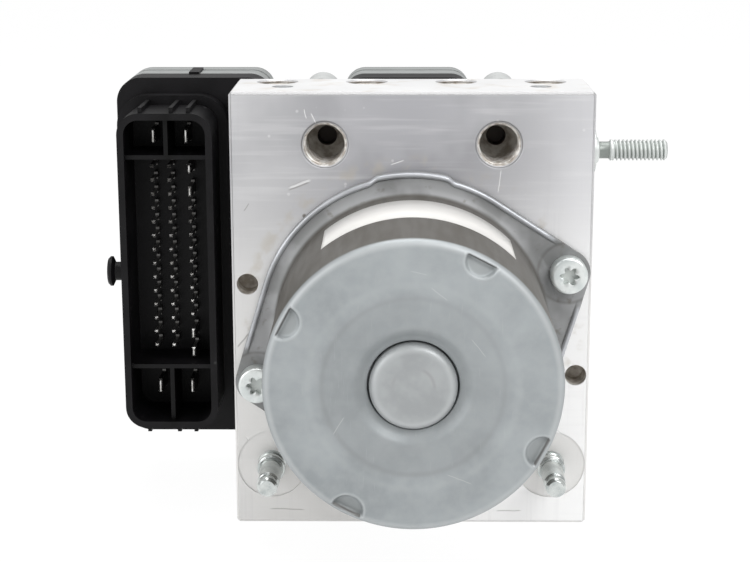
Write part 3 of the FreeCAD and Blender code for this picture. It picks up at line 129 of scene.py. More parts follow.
class Finish:
    """A material in the making, over one glossy shader; what is uniform is given by socket name."""

    def __init__(self, name, **uniform):
        self.material = bpy.data.materials.new(name)
        self.material.use_nodes = True
        self.tree = self.material.node_tree
        self.tree.nodes.clear()
        self.shader = self.tree.nodes.new("ShaderNodeBsdfPrincipled")
        self.surface = self.tree.nodes.new("ShaderNodeOutputMaterial").inputs["Surface"]
        self.tree.links.new(self.shader.outputs[0], self.surface)
        for socket, value in uniform.items():
            self.shader.inputs[socket.replace("_", " ")].default_value = value
        place = self.add("TexCoord", {}, {}, "Object")
        self.place = self.add("VectorMath", {"operation": "SCALE"}, {0: place, "Scale": 1 / MM})
        self.x, self.y, self.z = (self.add("SeparateXYZ", {}, {0: self.place}, axis) for axis in "XYZ")

    def add(self, kind, settings, inputs, output=0):
        """One node with its settings and the values or links of its sockets; gives one of its outputs."""
        made = self.tree.nodes.new("ShaderNode" + kind)
        for setting, value in settings.items():
            setattr(made, setting, value)
        for socket, value in inputs.items():
            if isinstance(value, Value):
                self.tree.links.new(value.socket, made.inputs[socket])
            else:
                made.inputs[socket].default_value = value
        return Value(self, made.outputs[output])

    def cloud(self, size, detail=2.0, stretch=(1, 1, 1), seed=0.0):
        """Noise from 0 to 1 whose blots are about size mm across, drawn out where stretch is small."""
        drawn = self.add("VectorMath", {"operation": "MULTIPLY"}, {0: self.place, 1: stretch})
        moved = self.add("VectorMath", {"operation": "ADD"}, {0: drawn, 1: (seed, seed, seed)})
        return self.add("TexNoise", {}, {"Vector": moved, "Scale": 1 / size, "Detail": detail})

    def specks(self, size, share):
        """1 in small round dots, on that share of the cells of a grain of that size."""
        cells = self.add("TexVoronoi", {}, {"Vector": self.place, "Scale": 1 / size})
        chance = self.add("TexVoronoi", {}, {"Vector": self.place, "Scale": 1 / size}, "Color")
        red = self.add("SeparateColor", {}, {0: chance}, "Red")
        return cells.rise(0.22, 0.1) * red.rise(1 - share, 1 - share + 0.02)

    def mix(self, share, under, over):
        """One colour over another by its share. A plain colour is its level as seen on screen, 0 to 255, or
        a level with the shift of red, green and blue."""
        ends = {0: share}
        for socket, colour in ((6, under), (7, over)):
            if not isinstance(colour, Value):
                level, *shifts = colour if isinstance(colour, tuple) else (colour, 0, 0, 0)
                colour = tuple(((level + shift) / 255) ** 2.2 for shift in shifts) + (1.0,)
            ends[socket] = colour
        return self.add("Mix", {"data_type": "RGBA"}, ends, 2)

    def off_axis(self, first, first_place, second, second_place):
        """Distance in mm from an axis that crosses the plane of two coordinates at a place."""
        return ((first - first_place) ** 2 + (second - second_place) ** 2) ** 0.5

    def give(self, depth=0.0, **values):
        """Links what varies: color, roughness, metallic, coat, and bump as a height times depth in mm."""
        sockets = {"color": "Base Color", "roughness": "Roughness", "metallic": "Metallic",
                   "coat": "Coat Weight"}
        for name, socket in sockets.items():
            if name in values:
                self.tree.links.new(values[name].socket, self.shader.inputs[socket])
        if "bump" in values:
            bump = self.add("Bump", {}, {"Height": values["bump"], "Distance": depth * MM}, "Normal")
            self.tree.links.new(bump.socket, self.shader.inputs["Normal"])
        return self.material


def dress(material, *names):
    for name in names:
        nodes[name].data.materials.clear()
        nodes[name].data.materials.append(material)


def scratch(finish, first, second, start, end, width):
    """1 along a straight scratch between two places on the plane of two coordinates, fading at its ends."""
    run = np.array(end) - np.array(start)
    length = float(np.hypot(*run))
    along, across = run / length, np.array([-run[1], run[0]]) / length
    middle = (np.array(start) + np.array(end)) / 2
    travel = abs(first * float(along[0]) + second * float(along[1]) - float(middle @ along))
    drift = abs(first * float(across[0]) + second * float(across[1]) - float(middle @ across)
                + finish.cloud(4, 1, seed=length) * 0.5 - 0.25)
    return travel.rise(length / 2, length / 3) * drift.rise(width, width / 3)


def scratches(finish, first, second, marks):
    return sum(scratch(finish, first, second, *mark) for mark in marks)


def block_finish():
    milled = Finish("milled_aluminium")
    x, y, z = milled.x, milled.y, milled.z
    bloom = milled.cloud(24, 3)
    marks = milled.cloud(1.6, 2, stretch=(0.06, 0.06, 1))
    drawn = milled.cloud(1.1, 2, stretch=(1, 0.05, 0.04), seed=7)
    fine = milled.cloud(0.5, 3)
    front = y.rise(FRONT + 0.25, FRONT + 0.1)
    # Painted light on the front: a painted shade darkens its upper middle, a painted reflection of the floor
    # brightens the lower corners and the right edge, and the base tone is painted darker towards the top.
    painted_shade = (z + bloom * 26).rise(90, 118) * (x + 2).near(0, 60) * front
    bright = (x - z * 0.22 + bloom * 14).rise(-6, 40) * front
    tone = milled.mix((z + bloom * 30).rise(66, 116), (224, 1, 0, -2), (186, -1, -1, 1))
    tone = tone.mixed(bloom.rise(0.35, 0.7) * 0.3, (226, 0, 0, -1))
    tone = tone.mixed(bright * 0.85, milled.mix(z.rise(60, 116), 250, (206, -1, -1, 2)))
    # The tone of the painted shade, patchy with the bloom.
    painted_shade_tone = milled.mix(bloom.rise(0.4, 0.6), (150, -1, -1, 3), (168, -1, -1, 3))
    tone = tone.mixed(painted_shade, painted_shade_tone)
    tone = tone.mixed(marks.rise(0.5, 0.8) * 0.2, 232)
    tone = tone.mixed(drawn.rise(0.55, 0.8) * 0.08, (170, 0, -2, 2))
    # The top face is painted lighter than the front, as lit from above; its brown stains are its own.
    top_face = z.rise(TOP - 0.2, TOP - 0.05)
    tone = tone.mixed(top_face * 0.75, 236)
    tarnish = top_face * milled.cloud(7, 3, seed=15).rise(0.5, 0.7)
    tone = tone.mixed(tarnish * 0.35, (190, 10, 0, -14))
    # Painted shade dims the chamfer along the top front edge.
    corner = z.rise(TOP - 1.1, TOP - 0.7) * y.rise(FRONT + 1.1, FRONT + 0.7)
    tone = tone.mixed(corner * 0.8, 164)
    nicks = scratches(milled, x, z, FRESH_SCRATCHES) * front
    tone = tone.mixed(nicks * 0.6, 236)
    scars = scratches(milled, x, z, OLD_SCRATCHES) * front
    tone = tone.mixed(scars.capped() * 0.5, (118, 3, 0, -4))
    tone = tone.mixed(milled.specks(2.6, 0.08) * front * 0.3, 236)
    tone = tone.mixed(milled.specks(3.7, 0.03) * front * 0.8, (90, 8, 0, -8))
    beside_flange = milled.off_axis(x, 0, z, MOTOR_Z).near(46, 3.5) * front
    stain = beside_flange * milled.cloud(5, 3, seed=3).rise(0.5, 0.7)
    tone = tone.mixed(stain * 0.45, (172, 8, 0, -14))
    spots = milled.off_axis(abs(x), STUD_X, z, STUD_Z)
    turned = (spots * 6.0).wave()
    spot = spots.rise(SPOT_RADIUS + 0.1, SPOT_RADIUS - 0.1) * front
    tone = tone.mixed(spot * 0.25, (232, 0, 1, 0))
    rings = spots.near(SPOT_RADIUS, 0.22) * front * milled.cloud(4, 1, seed=8).rise(0.4, 0.55)
    tone = tone.mixed(rings * 0.1, (150, 4, 0, -4))
    from_inlet = milled.off_axis(abs(x), INLET_X, z, INLET_Z)
    mouth = from_inlet.rise(INLET_RADIUS, INLET_RADIUS + 0.8) * front
    holes = from_inlet.rise(INLET_RADIUS + 0.4, INLET_RADIUS + 0.1)
    for hole_x, hole_z in LOCATING_HOLES:
        from_hole = milled.off_axis(x, hole_x, z, hole_z)
        holes = holes + from_hole.rise(LOCATING_RADIUS + 0.3, LOCATING_RADIUS + 0.1)
    deep = holes * y.rise(FRONT + 0.4, FRONT + 1.2)
    half_pitch = OUTLET_PITCH / 2
    outlets = milled.off_axis(abs(abs(x) - OUTLET_PITCH), half_pitch, y, OUTLET_Y)
    deep = deep + outlets.rise(OUTLET_RADIUS + 0.6, OUTLET_RADIUS + 0.3) * z.rise(TOP - 0.2, TOP - 0.9)
    film = milled.cloud(2.5, 3, seed=5).rise(0.3, 0.7)
    oil = milled.mix(film, (160, 8, 0, -10), (226, 3, 0, -6))
    tone = tone.mixed(deep.capped(), oil)
    # The narrow passage past each inlet's thread is painted nearly black, as painted shade.
    passage = from_inlet.rise(PASSAGE_RADIUS + 0.4, PASSAGE_RADIUS + 0.1)
    passage = passage * y.rise(FRONT + PASSAGE_START, FRONT + PASSAGE_START + 2)
    tone = tone.mixed(passage, (40, 8, 0, -6))
    relief = marks * 0.3 + drawn * 0.08 + fine * 0.2 - nicks * 1.5 + turned * spot * 0.15 + mouth * 9.0
    return milled.give(
        depth=0.05, color=tone, bump=relief,
        roughness=0.4 + bloom * 0.14 + marks * 0.06 - spot * 0.08,
        metallic=0.5 + spot * 0.06 - deep * 0.1)


dress(block_finish(), "hydraulic_block")


# Threads of the line ports. Each port is tapped, M12 in front and M11 on top, down to the cone that the
# flare of the line seals on; the crests are bright where the tap and the plug of the packing rubbed them.
THREAD_PITCH, THREAD_DEPTH, THREAD_START = 1.25, 0.62, 0.55
INLET_THREAD, OUTLET_THREAD = 13.4, 11.9


def quads(rows, columns, closed):
    """Faces over a grid of points: each joins point i, j to its three neighbours onward. Closed says which of
    the grid's two ways runs back into itself."""
    i, j = np.meshgrid(np.arange(rows if closed[0] else rows - 1),
                       np.arange(columns if closed[1] else columns - 1), indexing="ij")
    onward_i, onward_j = (i + 1) % rows, (j + 1) % columns
    return np.stack([i * columns + j, onward_i * columns + j, onward_i * columns + onward_j,
                     i * columns + onward_j], -1).reshape(-1, 4)


def sheet(name, points, material, closed=(True, True)):
    faces = quads(*points.shape[:2], closed)
    return build(name, points.reshape(-1, 3), faces, material)


def build(name, points, faces, material, smooth=True):
    """A piece of the fixed body from points in mm: coinciding points are merged and open ends are closed."""
    mesh = bpy.data.meshes.new(name)
    mesh.from_pydata((points * MM).tolist(), [], faces.tolist())
    welded = bmesh.new()
    welded.from_mesh(mesh)
    bmesh.ops.remove_doubles(welded, verts=welded.verts, dist=0.001 * MM)
    bmesh.ops.holes_fill(welded, edges=[edge for edge in welded.edges if edge.is_boundary])
    bmesh.ops.recalc_face_normals(welded, faces=welded.faces)
    welded.to_mesh(mesh)
    welded.free()
    mesh.polygons.foreach_set("use_smooth", np.full(len(mesh.polygons), smooth))
    mesh.materials.append(material)
    piece = bpy.data.objects.new(name, mesh)
    bpy.context.scene.collection.objects.link(piece)
    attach(piece, "module")
    return piece


def full_turn(count):
    return np.linspace(0, 2 * np.pi, count, endpoint=False)[None, :]


def around(radius, height, turn, at, towards):
    """Points at a radius, a height and an angle about an axis that starts at a place and runs one way."""
    along = {"up": (0, 0, 1), "front": (0, -1, 0), "right": (1, 0, 0), "left": (-1, 0, 0)}
    z_axis = np.array(along[towards], float)
    x_axis = np.array((0.0, 0.0, 1.0) if towards in ("right", "left") else (1.0, 0.0, 0.0))
    y_axis = np.cross(z_axis, x_axis)
    radius, height, turn = np.broadcast_arrays(radius, height, turn)
    return (np.array(at, float) + (radius * np.cos(turn))[..., None] * x_axis
            + (radius * np.sin(turn))[..., None] * y_axis + height[..., None] * z_axis)


def thread_wave(height, turn, pitch):
    """0 at a crest and 1 in a groove: a rounded V that climbs one pitch in each turn."""
    phase = (height / pitch - turn / (2 * np.pi)) % 1.0
    return np.clip(1.35 - np.abs(phase - 0.5) * 3.4, 0, 1)


def tapped_sleeve(name, radius, length, at, towards, material):
    """The tapped wall of a port: at each depth the radius is the bore's less the crest that stands out of it,
    and a plain outer wall just inside the drilled one closes it behind."""
    depth = np.linspace(THREAD_START, length, int(length / THREAD_PITCH * 9))[:, None]
    turn = full_turn(72)
    fade = np.clip((depth - THREAD_START) / 0.8, 0, 1) * np.clip((length - depth) / 1.2, 0, 1)
    crest = radius - 0.04 - THREAD_DEPTH * fade * (1 - thread_wave(depth, turn, THREAD_PITCH))
    wall = np.full_like(depth, radius - 0.01)[::-1]
    inner = around(crest, -depth, turn, at, towards)
    outer = around(wall, -depth[::-1], turn, at, towards)
    return sheet(name, np.concatenate([inner, outer]), material)


def thread_finish():
    tapped = Finish("tapped_aluminium")
    oil = tapped.cloud(1.8, 3)
    tone = tapped.mix(oil.rise(0.35, 0.65), (168, 8, 0, -9), (226, 2, 0, -4))
    # The threads of the top ports are painted darker, as painted shade deep in their holes.
    tone = tone.mixed(tapped.y.rise(0, 2) * 0.6, (96, 9, 0, -9))
    return tapped.give(depth=0.03, color=tone, roughness=0.34 + oil * 0.2, metallic=0.5 + oil * 0.1,
                       bump=tapped.cloud(0.5, 2))


tapped_aluminium = thread_finish()
for side, name in ((-1, "inlet_thread_left"), (1, "inlet_thread_right")):
    tapped_sleeve(name, INLET_RADIUS, INLET_THREAD, (side * INLET_X, FRONT, INLET_Z), "front",
                  tapped_aluminium)
for number in range(4):
    tapped_sleeve("outlet_thread_%d" % (number + 1), OUTLET_RADIUS, OUTLET_THREAD,
                  ((number - 1.5) * OUTLET_PITCH, OUTLET_Y, TOP), "up", tapped_aluminium)


# Studs. Turned steel, screwed into the block up to a collar and zinc plated with a bluish passivation: the
# two in front are plain pins with a snap groove, the one in the right side carries a thread for a nut.
STUD_RADIUS, STUD_ROOT, STUD_SUNK = 2.95, 3.97, 11.97
RUN_OUT_RADIUS, RUN_OUT_GROOVE, UNDERCUT_RADIUS = 3.4, 3.1, 2.8
COLLAR_TOP, SHANK_END, LAND_START, TIP_END = 4.2, 15.6, 17.9, 20.0
GROOVE_RADIUS, TIP_RADIUS = 2.5, 2.8
SIDE_Y, SIDE_Z, SIDE_END = -5.0, 106.5, 21.0
THREAD_ROOT, TURNED_SIDES = 2.35, 64


def zinc_finish(name, dark, light, blot, shine=0.0):
    zinc = Finish(name)
    milk = zinc.cloud(blot, 3)
    tone = zinc.mix(milk.rise(0.32, 0.68), (dark, -5, 1, 0), (light, -2, 2, 0))
    tone = tone.mixed(zinc.cloud(blot / 3, 2, seed=4).rise(0.66, 0.8) * 0.3, (130, -4, 2, -4))
    return zinc.give(depth=0.004, color=tone, roughness=0.26 - shine * 0.4 + milk * 0.14,
                     metallic=0.62 + shine + milk * 0.1,
                     bump=zinc.cloud(blot / 2, 2))


def eased(value, start, end):
    """0 before the start and 1 past the end with a soft run between them; the end may be the smaller one."""
    share = np.clip((value - start) / (end - start), 0, 1)
    return share * share * (3 - 2 * share)


def bent(corners, steps):
    """A profile from rows of radius, height and cut-back: each corner becomes a curve that leaves one of its
    sides and meets the other at the cut-back distance."""
    corner = np.array(corners, float)
    place, cut = corner[:, None, :2], corner[:, None, 2:]
    before, after = np.roll(place, 1, 0) - place, np.roll(place, -1, 0) - place
    start = place + cut * before / np.linalg.norm(before, axis=2, keepdims=True)
    end = place + cut * after / np.linalg.norm(after, axis=2, keepdims=True)
    share = np.linspace(0, 1, steps)[None, :, None]
    return ((1 - share) ** 2 * start + 2 * share * (1 - share) * place + share ** 2 * end).reshape(-1, 2)


def turned_piece(name, profile, at, towards, material, thread=None):
    """A profile of radius and height pairs carried round an axis. A thread, as from, to, pitch and depth,
    puts fine steps between those two heights and takes the groove's wave off their radius."""
    radius, height = profile.T
    if thread:
        start, stop, pitch, depth = thread
        below, above = height < start, height > stop
        steps = np.arange(start, stop, pitch / 10)
        radius = np.concatenate([radius[below], np.full_like(steps, radius[below][-1]), radius[above]])
        height = np.concatenate([height[below], steps, height[above]])
    turn = full_turn(TURNED_SIDES)
    radius, height = radius[:, None], height[:, None]
    if thread:
        inside = np.clip((height - start) / pitch, 0, 1) * np.clip((stop - height) / (pitch / 8), 0, 1)
        radius = radius - depth * inside * thread_wave(height, turn, pitch)
    return sheet(name, around(radius, height, turn, at, towards), material, (False, True))


zinc_plating = zinc_finish("zinc_plating", 184, 216, 4.0, shine=0.22)
run_out = [row for foot in (0.3, 1.3) for row in (
    (RUN_OUT_RADIUS, foot, 0.05), (RUN_OUT_GROOVE, foot + 0.2, 0.05), (RUN_OUT_GROOVE, foot + 0.5, 0.05),
    (RUN_OUT_RADIUS, foot + 0.7, 0.05))]
front_stud = bent([
    (0, -STUD_SUNK, 0), (STUD_ROOT, -STUD_SUNK, 0.2), (STUD_ROOT, -0.45, 0.02), (RUN_OUT_RADIUS, -0.4, 0.02),
    *run_out, (RUN_OUT_RADIUS, 2.2, 0.05), (UNDERCUT_RADIUS, 2.35, 0.05), (UNDERCUT_RADIUS, 2.75, 0.05),
    (STUD_ROOT, 2.9, 0.05), (STUD_ROOT, COLLAR_TOP, 0.25), (3.45, COLLAR_TOP + 0.15, 0.1),
    (3.1, COLLAR_TOP + 0.9, 0.2), (STUD_RADIUS, SHANK_END, 0.15), (GROOVE_RADIUS, SHANK_END + 0.35, 0.1),
    (GROOVE_RADIUS, LAND_START, 0.1), (TIP_RADIUS, LAND_START + 0.25, 0.08), (TIP_RADIUS, TIP_END - 0.8, 0.1),
    (TIP_RADIUS - 0.7, TIP_END, 0.12), (0, TIP_END, 0)], 4)
for side, sign in (("left", -1), ("right", 1)):
    stud = turned_piece("front_stud_" + side, front_stud, (sign * STUD_X, FRONT, STUD_Z), "front",
                        zinc_plating)
    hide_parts("front_studs")

side_stud = bent([
    (0, -STUD_SUNK, 0), (STUD_ROOT, -STUD_SUNK, 0.2), (STUD_ROOT, 0, 0.01), (6.2, 0, 0.01), (6.2, 1.0, 0.2),
    (3.7, 1.0, 0.05), (3.5, 1.9, 0.2), (THREAD_ROOT, 2.2, 0.1), (THREAD_ROOT, 4.9, 0.1),
    (STUD_RADIUS, 5.3, 0.1), (STUD_RADIUS, SIDE_END - 0.7, 0.05), (2.3, SIDE_END, 0.1), (0, SIDE_END, 0)], 3)


def rolled_finish():
    rolled = Finish("rolled_thread")
    from_axis = rolled.off_axis(rolled.y, SIDE_Y, rolled.z, SIDE_Z)
    milk = rolled.cloud(2.5, 2)
    tone = rolled.mix(milk, (204, -3, 1, -1), (222, -2, 1, -1))
    # Where the stud is thinner than 2.6 mm, in the thread's grooves and at the neck, it is painted darker as
    # painted shade.
    painted_groove_shade = rolled.mix(milk, (92, -4, 3, -2), (136, -4, 3, -2))
    tone = tone.mixed(from_axis.rise(2.6, THREAD_ROOT + 0.01) * 0.8, painted_groove_shade)
    return rolled.give(color=tone, roughness=0.36 + milk * 0.12, metallic=0.45 + milk * 0.1)


threaded = turned_piece("threaded_stud", side_stud, (BLOCK_HIGH[0], SIDE_Y, SIDE_Z), "right", rolled_finish(),
                        thread=(5.5, SIDE_END - 0.8, 1.12, 0.62))
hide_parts("side_stud")


# Control unit's screws and sealing balls. The screws are cold-formed steel under a pale passivation, and the
# balls are bright bearing steel, pressed into the mouths of the long drillings.
dress(zinc_finish("passivated_screws", 214, 234, 3.5), "ecu_screws")
dress(zinc_finish("bright_balls", 176, 212, 1.2), "sealing_balls")


# Motor can. One deep-drawn and zinc-coated steel cup: a flange with a rolled edge, two ears and a vent lip at
# its top, a plain brownish wall, painted darker than the end as shade and lighter towards the right front as
# a painted reflection, a rounded rim, a stepped end with a bowl for the bearing cap, and four half-moon dents
# that the staking tool pressed in behind the rim.
CAN_RADIUS, CAN_WALL, CAN_LENGTH = 37.5, 1.9, 59.85
FLANGE_RADIUS, FLANGE_THICK, EDGE_WIDTH, EDGE_HEIGHT = 43.0, 2.2, 1.5, 0.8
EAR_DISTANCE, EAR_ANGLE, EAR_RADIUS = 46.0, math.radians(20), 6.2
DENT_DISTANCE, DENT_RADIUS, DENT_DEPTH = 36.1, 4.05, 1.6
DENT_ANGLES = np.radians(62.5 + 90 * np.arange(4))
STEP_DEPTH, CAN_SIDES = 0.7, 640
SEAT_RADIUS, SEAT_MOUTH, SEAT_FLOOR, END_INSIDE = 9.52, 47.3, 54.3, 58.1


def stretched_outline(turn):
    """Distance from the axis to a band stretched round the flange's circle and its two ears: the least, over
    all directions, of the reach of circle or ear that way divided by the cosine between it and the turn."""
    way = full_turn(720).T
    reach = np.maximum(FLANGE_RADIUS, EAR_DISTANCE * np.abs(np.cos(way - EAR_ANGLE)) + EAR_RADIUS)
    slant = np.cos(way - turn)
    return np.min(np.where(slant > 0.3, reach / np.maximum(slant, 0.3), np.inf), 0)


def motor_can():
    """Rows run along the cup's profile, from its mouth round the flange's edge, up the wall, over the end and
    back inside; the flange's rows follow the stretched outline instead of a circle."""
    turn = full_turn(CAN_SIDES)
    from_ear = np.arccos(np.abs(np.cos(turn - EAR_ANGLE)))
    lip = eased(np.abs(turn - np.pi / 2), math.radians(16.5), math.radians(12.5))
    outline = stretched_outline(turn) + 1.0 * lip
    rolled = eased(from_ear, math.radians(10), math.radians(16)) * (1 + 0.5 * lip)
    swing = np.linspace(0, np.pi, 13)[:, None]
    edge_radius = outline - EDGE_WIDTH / 2 * (1 - np.cos(swing))
    edge_height = EDGE_HEIGHT * rolled * np.sin(swing) ** 0.8
    share = np.linspace(0, 1, 16)[1:, None]
    flat_radius = (outline - EDGE_WIDTH) * (1 - share) + (CAN_RADIUS + 3.5) * share
    crease = -0.25 * rolled * eased(share, 0.2, 0.0)
    radius = np.concatenate([edge_radius, flat_radius])
    screw = np.hypot(radius * np.cos(from_ear) - EAR_DISTANCE, radius * np.sin(from_ear))
    height = FLANGE_THICK + np.concatenate([edge_height, crease]) - 0.4 * eased(screw, 8.7, 8.0)
    height = height - 0.3 * np.exp(-((screw - 8.6) / 0.4) ** 2)
    radius = np.concatenate([outline - 0.3, outline, radius])
    height = np.concatenate([0 * outline, 0 * outline + 0.3, height])
    flange = np.stack([radius, height], -1)

    top = CAN_LENGTH - STEP_DEPTH
    foot = bent([(CAN_RADIUS + 3.6, FLANGE_THICK, 0), (CAN_RADIUS, FLANGE_THICK, 3.3),
                 (CAN_RADIUS, CAN_LENGTH, 2.2), (30.0, CAN_LENGTH, 0)], 11)[11:33]
    face = np.stack([np.linspace(35.1, 31.0, 16), np.full(16, CAN_LENGTH)], -1)
    bowl = bent([(31, CAN_LENGTH, 0), (26.6, CAN_LENGTH, 2.4), (20.8, top, 2.8), (15.2, top, 1.0),
                 (12.7, top - 1.6, 0.8), (11.5, top - 1.9, 0.25), (11.25, SEAT_FLOOR, 0.05),
                 (SEAT_RADIUS, SEAT_FLOOR, 0)], 6)[6:-6]
    # Back inside: the pocket of the rear bearing, the back of bowl and step, and the wall down to the mouth.
    inside = bent([(11.25, SEAT_FLOOR, 0), (SEAT_RADIUS, SEAT_FLOOR, 0.05), (SEAT_RADIUS, SEAT_MOUTH, 0.05),
                   (8, SEAT_MOUTH, 0.05), (8, 45.8, 0.05), (11.4, 45.8, 0.4), (11.4, 52.4, 0.4),
                   (12.9, 52.4, 0.4), (12.9, 54.8, 0.4), (16.1, 57.4, 0.4), (23.3, 57.4, 0.4),
                   (24.5, END_INSIDE, 0.3), (CAN_RADIUS - CAN_WALL, END_INSIDE, 0.5),
                   (CAN_RADIUS - CAN_WALL, 0, 0.05), (40, 0, 0)], 2)[2:-2]
    outer = np.concatenate([foot, face, bowl])[:, None, :] + np.zeros((1, CAN_SIDES, 1))
    x, z = outer[..., 0] * np.cos(turn), outer[..., 0] * np.sin(turn)
    for angle in DENT_ANGLES:
        along = x * math.cos(angle) + z * math.sin(angle) - DENT_DISTANCE
        reach = np.hypot(along, z * math.cos(angle) - x * math.sin(angle))
        pressed = eased(reach, DENT_RADIUS + 0.3, DENT_RADIUS - 0.3) * eased(along, 0.22, -0.22)
        proud = np.exp(-((reach - DENT_RADIUS - 0.35) / 0.5) ** 2) * eased(along, 0.5, -0.5)
        depth = DENT_DEPTH * (0.25 + 0.75 * np.clip(1 + along / DENT_RADIUS, 0, 1))
        outer[..., 1] += np.where(outer[..., 1] > 57, 0.14 * proud - depth * pressed, 0)
    inner = inside[:, None, :] + np.zeros((1, CAN_SIDES, 1))
    rows = np.concatenate([flange, outer, inner])
    return around(rows[..., 0], rows[..., 1], turn, (0, FRONT, MOTOR_Z), "front")


def from_motor_screws(finish):
    """Distance in mm from the axis of the nearer of the two screws in the ears."""
    along = finish.x * math.cos(EAR_ANGLE) + (finish.z - MOTOR_Z) * math.sin(EAR_ANGLE)
    across = (finish.z - MOTOR_Z) * math.cos(EAR_ANGLE) - finish.x * math.sin(EAR_ANGLE)
    return finish.off_axis(abs(along), EAR_DISTANCE, across, 0)


def can_finish():
    coated = Finish("coated_steel")
    x, y, z = coated.x, coated.y, coated.z
    from_axis = coated.off_axis(x, 0, z, MOTOR_Z)
    haze = coated.cloud(13, 3)
    mottle = coated.cloud(3.2, 3, seed=2)
    tone = coated.mix(haze.rise(0.3, 0.7), (141, -4, 1, 3), (156, -4, 1, 3))
    tone = tone.mixed(mottle.rise(0.3, 0.75) * 0.3, (168, -2, 1, 2))
    # The end is a little darker inside the step and lighter on its outer shoulder; a ring of painted shade
    # dims the highlight on the step's edge, and the upper right of the end is painted brighter, as lit from
    # there.
    tone = tone.mixed((from_axis + haze * 1.5).rise(25.6, 23.4) * 0.3, (134, -3, 0, 1))
    tone = tone.mixed(from_axis.near(22.6, 1.1) * 0.3, (128, -3, 0, 1))
    tone = tone.mixed(from_axis.near(26.2, 1.6) * 0.25, (168, -3, 1, 2))
    tone = tone.mixed((x + (z - MOTOR_Z) + haze * 30).rise(-10, 60) * 0.3, (172, -4, 1, 3))
    marks = coated.cloud(0.5, 2, stretch=(1, 1, 0.08), seed=6).rise(0.62, 0.8) * from_axis.rise(34, 26)
    tone = tone.mixed(marks * 0.2, (172, -2, 1, 2))
    for mark in (((4, 84), (8.5, 80.5), 0.2), ((-1, 88), (3.5, 87), 0.15), ((14, 71), (18, 66), 0.15),
                 ((-20, 46), (-17, 51), 0.16), ((8, 36), (15, 33.5), 0.15)):
        line = scratch(coated, x, z, *mark) * from_axis.rise(35, 34)
        tone = tone.mixed(line * 0.4, (188, -1, 0, 1))
    # The wall is painted darker than the end as shade over its own brownish tone, and lighter towards the
    # right and front as a painted reflection; its streaks are its own.
    wall = from_axis.rise(36.9, 37.4) * y.rise(-74.5, -73)
    streak = coated.cloud(2.5, 2, stretch=(1, 0.12, 1), seed=9)
    drawn = coated.mix(streak.rise(0.3, 0.7), (82, 4, 1, -4), (93, 3, 1, -3))
    drawn = coated.mix((x + y * 0.5 + haze * 12).rise(-6, 34), drawn, (101, 3, 1, -2))
    tone = tone.mixed(wall, drawn)
    # Near the block the flange has kept its bluish coat; its rolled edge is glossier, and painted brighter as
    # a painted highlight along the bead.
    flange = y.rise(FRONT - 5, FRONT - 3.2) * from_axis.rise(37.6, 38.6)
    coat = coated.mix(haze.rise(0.4, 0.6), (126, -1, 0, 0), (150, -1, 0, 1))
    tone = tone.mixed(flange, coat)
    edge = from_axis.rise(40.9, 41.4) * y.rise(FRONT - FLANGE_THICK - 0.15, FRONT - FLANGE_THICK - 0.5)
    tone = tone.mixed(edge * (0.25 + haze * 0.7), (196, -3, 0, 5))
    # A dark ring of painted shade lies in the crease round each screw's seat.
    tone = tone.mixed(from_motor_screws(coated).near(8.5, 0.7) * flange * 0.35, (86, 4, 0, -4))
    # A painted highlight lightens the rounded rim of the end.
    tone = tone.mixed(from_axis.near(36.4, 1.3) * y.rise(-73.5, -74.5) * 0.45, (186, -2, 1, 2))
    stain = coated.cloud(3, 3, seed=12).rise(0.6, 0.75) * flange * (1 - edge)
    tone = tone.mixed(stain * 0.5, (92, 6, 0, -8))
    # Round each dent the raised lip is painted lighter as a highlight, and the floor darker and the wall
    # along its chord much darker, both as painted shade.
    for angle in DENT_ANGLES:
        dent_x, dent_z = DENT_DISTANCE * math.cos(angle), MOTOR_Z + DENT_DISTANCE * math.sin(angle)
        towards_dent = x * math.cos(angle) + (z - MOTOR_Z) * math.sin(angle)
        inward = towards_dent.rise(DENT_DISTANCE + 0.3, DENT_DISTANCE - 0.3)
        from_dent = coated.off_axis(x, float(dent_x), z, float(dent_z))
        lip = from_dent.near(DENT_RADIUS + 0.35, 0.7) * inward * from_axis.rise(37.2, 36.9)
        tone = tone.mixed(lip * 0.4, (188, -3, 1, 2))
        tone = tone.mixed(from_dent.rise(DENT_RADIUS, 3) * inward * 0.4, (126, -2, 1, 0))
        chord_shadow = towards_dent.near(DENT_DISTANCE, 0.5)
        tone = tone.mixed(from_dent.rise(DENT_RADIUS, 3.6) * chord_shadow * 0.8, (70, 3, 0, -3))
    relief = haze * 0.8 + mottle * 0.35 + coated.cloud(0.9, 3) * 0.2 + streak * wall * 0.1
    return coated.give(depth=0.06, color=tone, roughness=0.47 + haze * 0.1 - edge * 0.2,
                       metallic=0.45 - wall * 0.25 + edge * 0.3, bump=relief)


coated_steel = can_finish()
can = sheet("motor_can", motor_can(), coated_steel)
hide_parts("motor_housing")


# Motor screws. Cold-formed steel, zinc plated with a thick pale passivation; the punch has left a recess of
# six lobes with a slightly dished floor in each head.
SCREW_FLOOR, HEAD_TOP, HEAD_RADIUS, SHANK_LENGTH, SHANK_RADIUS = 1.8, 6.4, 5.1, 12.4, 2.9
RECESS_RADIUS, LOBE_HEIGHT = 2.3, 0.55


